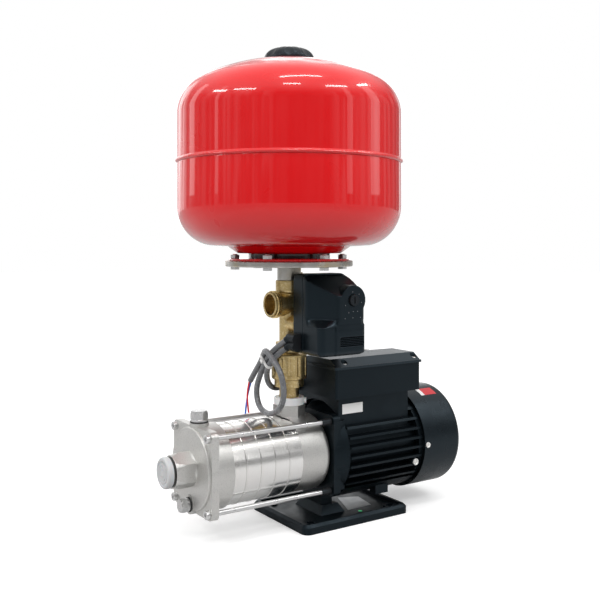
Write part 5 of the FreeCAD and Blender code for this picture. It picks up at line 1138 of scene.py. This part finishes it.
def cowl_label(cover):
    """The blank white and red label that follows the cowl's round top."""
    r = high("fan_cover").z - SHAFT_HEIGHT
    angles = [math.radians(COWL_LABEL_START + 1.6 * n) for n in range(9)]
    for name, finish, x0, x1 in COWL_BANDS:
        outline = ((x0, r - 0.2), (x1, r - 0.2), (x1, r + 0.12), (x0, r + 0.12))
        rings = [[(x, out * math.cos(a), SHAFT_HEIGHT + out * math.sin(a)) for x, out in outline]
                 for a in angles]
        merged(cover, swept(name, rings, finish))


class PUMP_OT_motor(bpy.types.Operator):
    """Finishes the bracket, the finned housing, the end shield, the fan cover and their screws"""
    bl_idname = "pump.motor"
    bl_label = "Motor"

    def execute(self, context):
        sizes = context.scene.pump_sizes
        cast, fine = sizes.casting_edge, sizes.machined_edge
        dressed("motor_bracket", cast)
        merged(dressed("motor_housing", cast),
               upright("saddle_label", SADDLE_LABEL_X, SADDLE_SIDE, SADDLE_LABEL_Z, 0.25, "label"))
        dressed("rear_end_shield", cast)
        cowl_label(dressed("fan_cover", fine, "black_gloss"))
        dressed("foot_screws", fine)
        centre = middle("earth_screw")
        crossed(dressed("earth_screw", fine, "zinc_screws"),
                turned_to("-Y", centre.x, low("earth_screw").y, centre.z), *EARTH_CROSS)
        screws = dressed("fan_cover_screws", fine, "zinc_screws")
        for degrees in COWL_SCREWS:
            cowl_cross(screws, degrees)
        return {"FINISHED"}


class PUMP_OT_terminal_box(bpy.types.Operator):
    """Finishes the terminal box, its lid, the lid screws and the lead gland"""
    bl_idname = "pump.terminal_box"
    bl_label = "Terminal box"

    def execute(self, context):
        edge = context.scene.pump_sizes.moulded_edge
        dressed("terminal_box", edge)
        dressed("terminal_box_lid", edge * 0.8, "lid_plastic")
        # Painted highlight: the lid screws wear a near-white matt colour in place of zinc
        dressed("lid_screws", edge * 0.3, "lid_screw_glint")
        dressed("lead_gland", edge * 0.4)
        return {"FINISHED"}


# Base plate

DECK = 6.5
FOIL_PATCH = [(26.6, 19.3, DECK), (7.1, -28.9, DECK), (44.8, -27.1, DECK), (51.8, 8.7, DECK)]
DOT_PLACE = (18.1, -39, DECK)


class PUMP_OT_base(bpy.types.Operator):
    """Finishes the base plate with its blank foil patch and inspection dot"""
    bl_idname = "pump.base"
    bl_label = "Base plate"

    def execute(self, context):
        base = dressed("base_plate", context.scene.pump_sizes.casting_edge)
        spot = Matrix.Translation(mm(*DOT_PLACE))
        merged(base, disc("inspection_dot", 2.6, 0.25, "dot_green", spot),
               plate("foil_patch", FOIL_PATCH, 0.2, "foil"))
        return {"FINISHED"}


class PUMP_OT_inner_pieces(bpy.types.Operator):
    """Gives every piece inside the housings its own finish"""
    bl_idname = "pump.inner_pieces"
    bl_label = "Inner pieces"

    def execute(self, context):
        for node, piece in frame["nodes"].items():
            if not piece.hide_render:
                piece.data.materials.clear()
                piece.data.materials.append(FINISHES[SLOT_OF[node]])
        return {"FINISHED"}


class PUMP_PT_panel(bpy.types.Panel):
    """Sizes, colours and the steps that dress the pump"""
    bl_idname = "PUMP_PT_panel"
    bl_label = "Booster pump"
    bl_space_type = "VIEW_3D"
    bl_region_type = "UI"
    bl_category = "Pump"

    def draw(self, context):
        for group in GROUPS:
            settings = getattr(context.scene, group)
            box = self.layout.box()
            box.label(text=group.replace("pump_", "").title())
            for key in settings.__annotations__:
                box.prop(settings, key)
        column = self.layout.column(align=True)
        for step in STEPS:
            column.operator(step.bl_idname)


STEPS = (
    PUMP_OT_stage, PUMP_OT_cords, PUMP_OT_tank, PUMP_OT_flange, PUMP_OT_column, PUMP_OT_controller,
    PUMP_OT_casing, PUMP_OT_plugs, PUMP_OT_tie_bolts, PUMP_OT_motor, PUMP_OT_terminal_box, PUMP_OT_base,
    PUMP_OT_inner_pieces,
)
GROUPS = {"pump_colours": PumpColours, "pump_sizes": PumpSizes, "pump_stage": PumpStage}


def register():
    for name, group in GROUPS.items():
        bpy.utils.register_class(group)
        setattr(bpy.types.Scene, name, PointerProperty(type=group))
    for step in STEPS:
        bpy.utils.register_class(step)
    bpy.utils.register_class(PUMP_PT_panel)


def unregister():
    bpy.utils.unregister_class(PUMP_PT_panel)
    for step in reversed(STEPS):
        bpy.utils.unregister_class(step)
    for name, group in reversed(GROUPS.items()):
        delattr(bpy.types.Scene, name)
        bpy.utils.unregister_class(group)


def main():
    register()
    make_finishes(bpy.context.scene.pump_colours)
    for step in STEPS:
        area, name = step.bl_idname.split(".")
        if getattr(getattr(bpy.ops, area), name)() != {"FINISHED"}:
            raise RuntimeError(step.bl_label + " did not finish")
    boxes = {"cad": CAD_BOX, "visual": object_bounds()}
    {name: [list(corner) for corner in box] for name, box in boxes.items()}


if __name__ == "__main__":
    main()
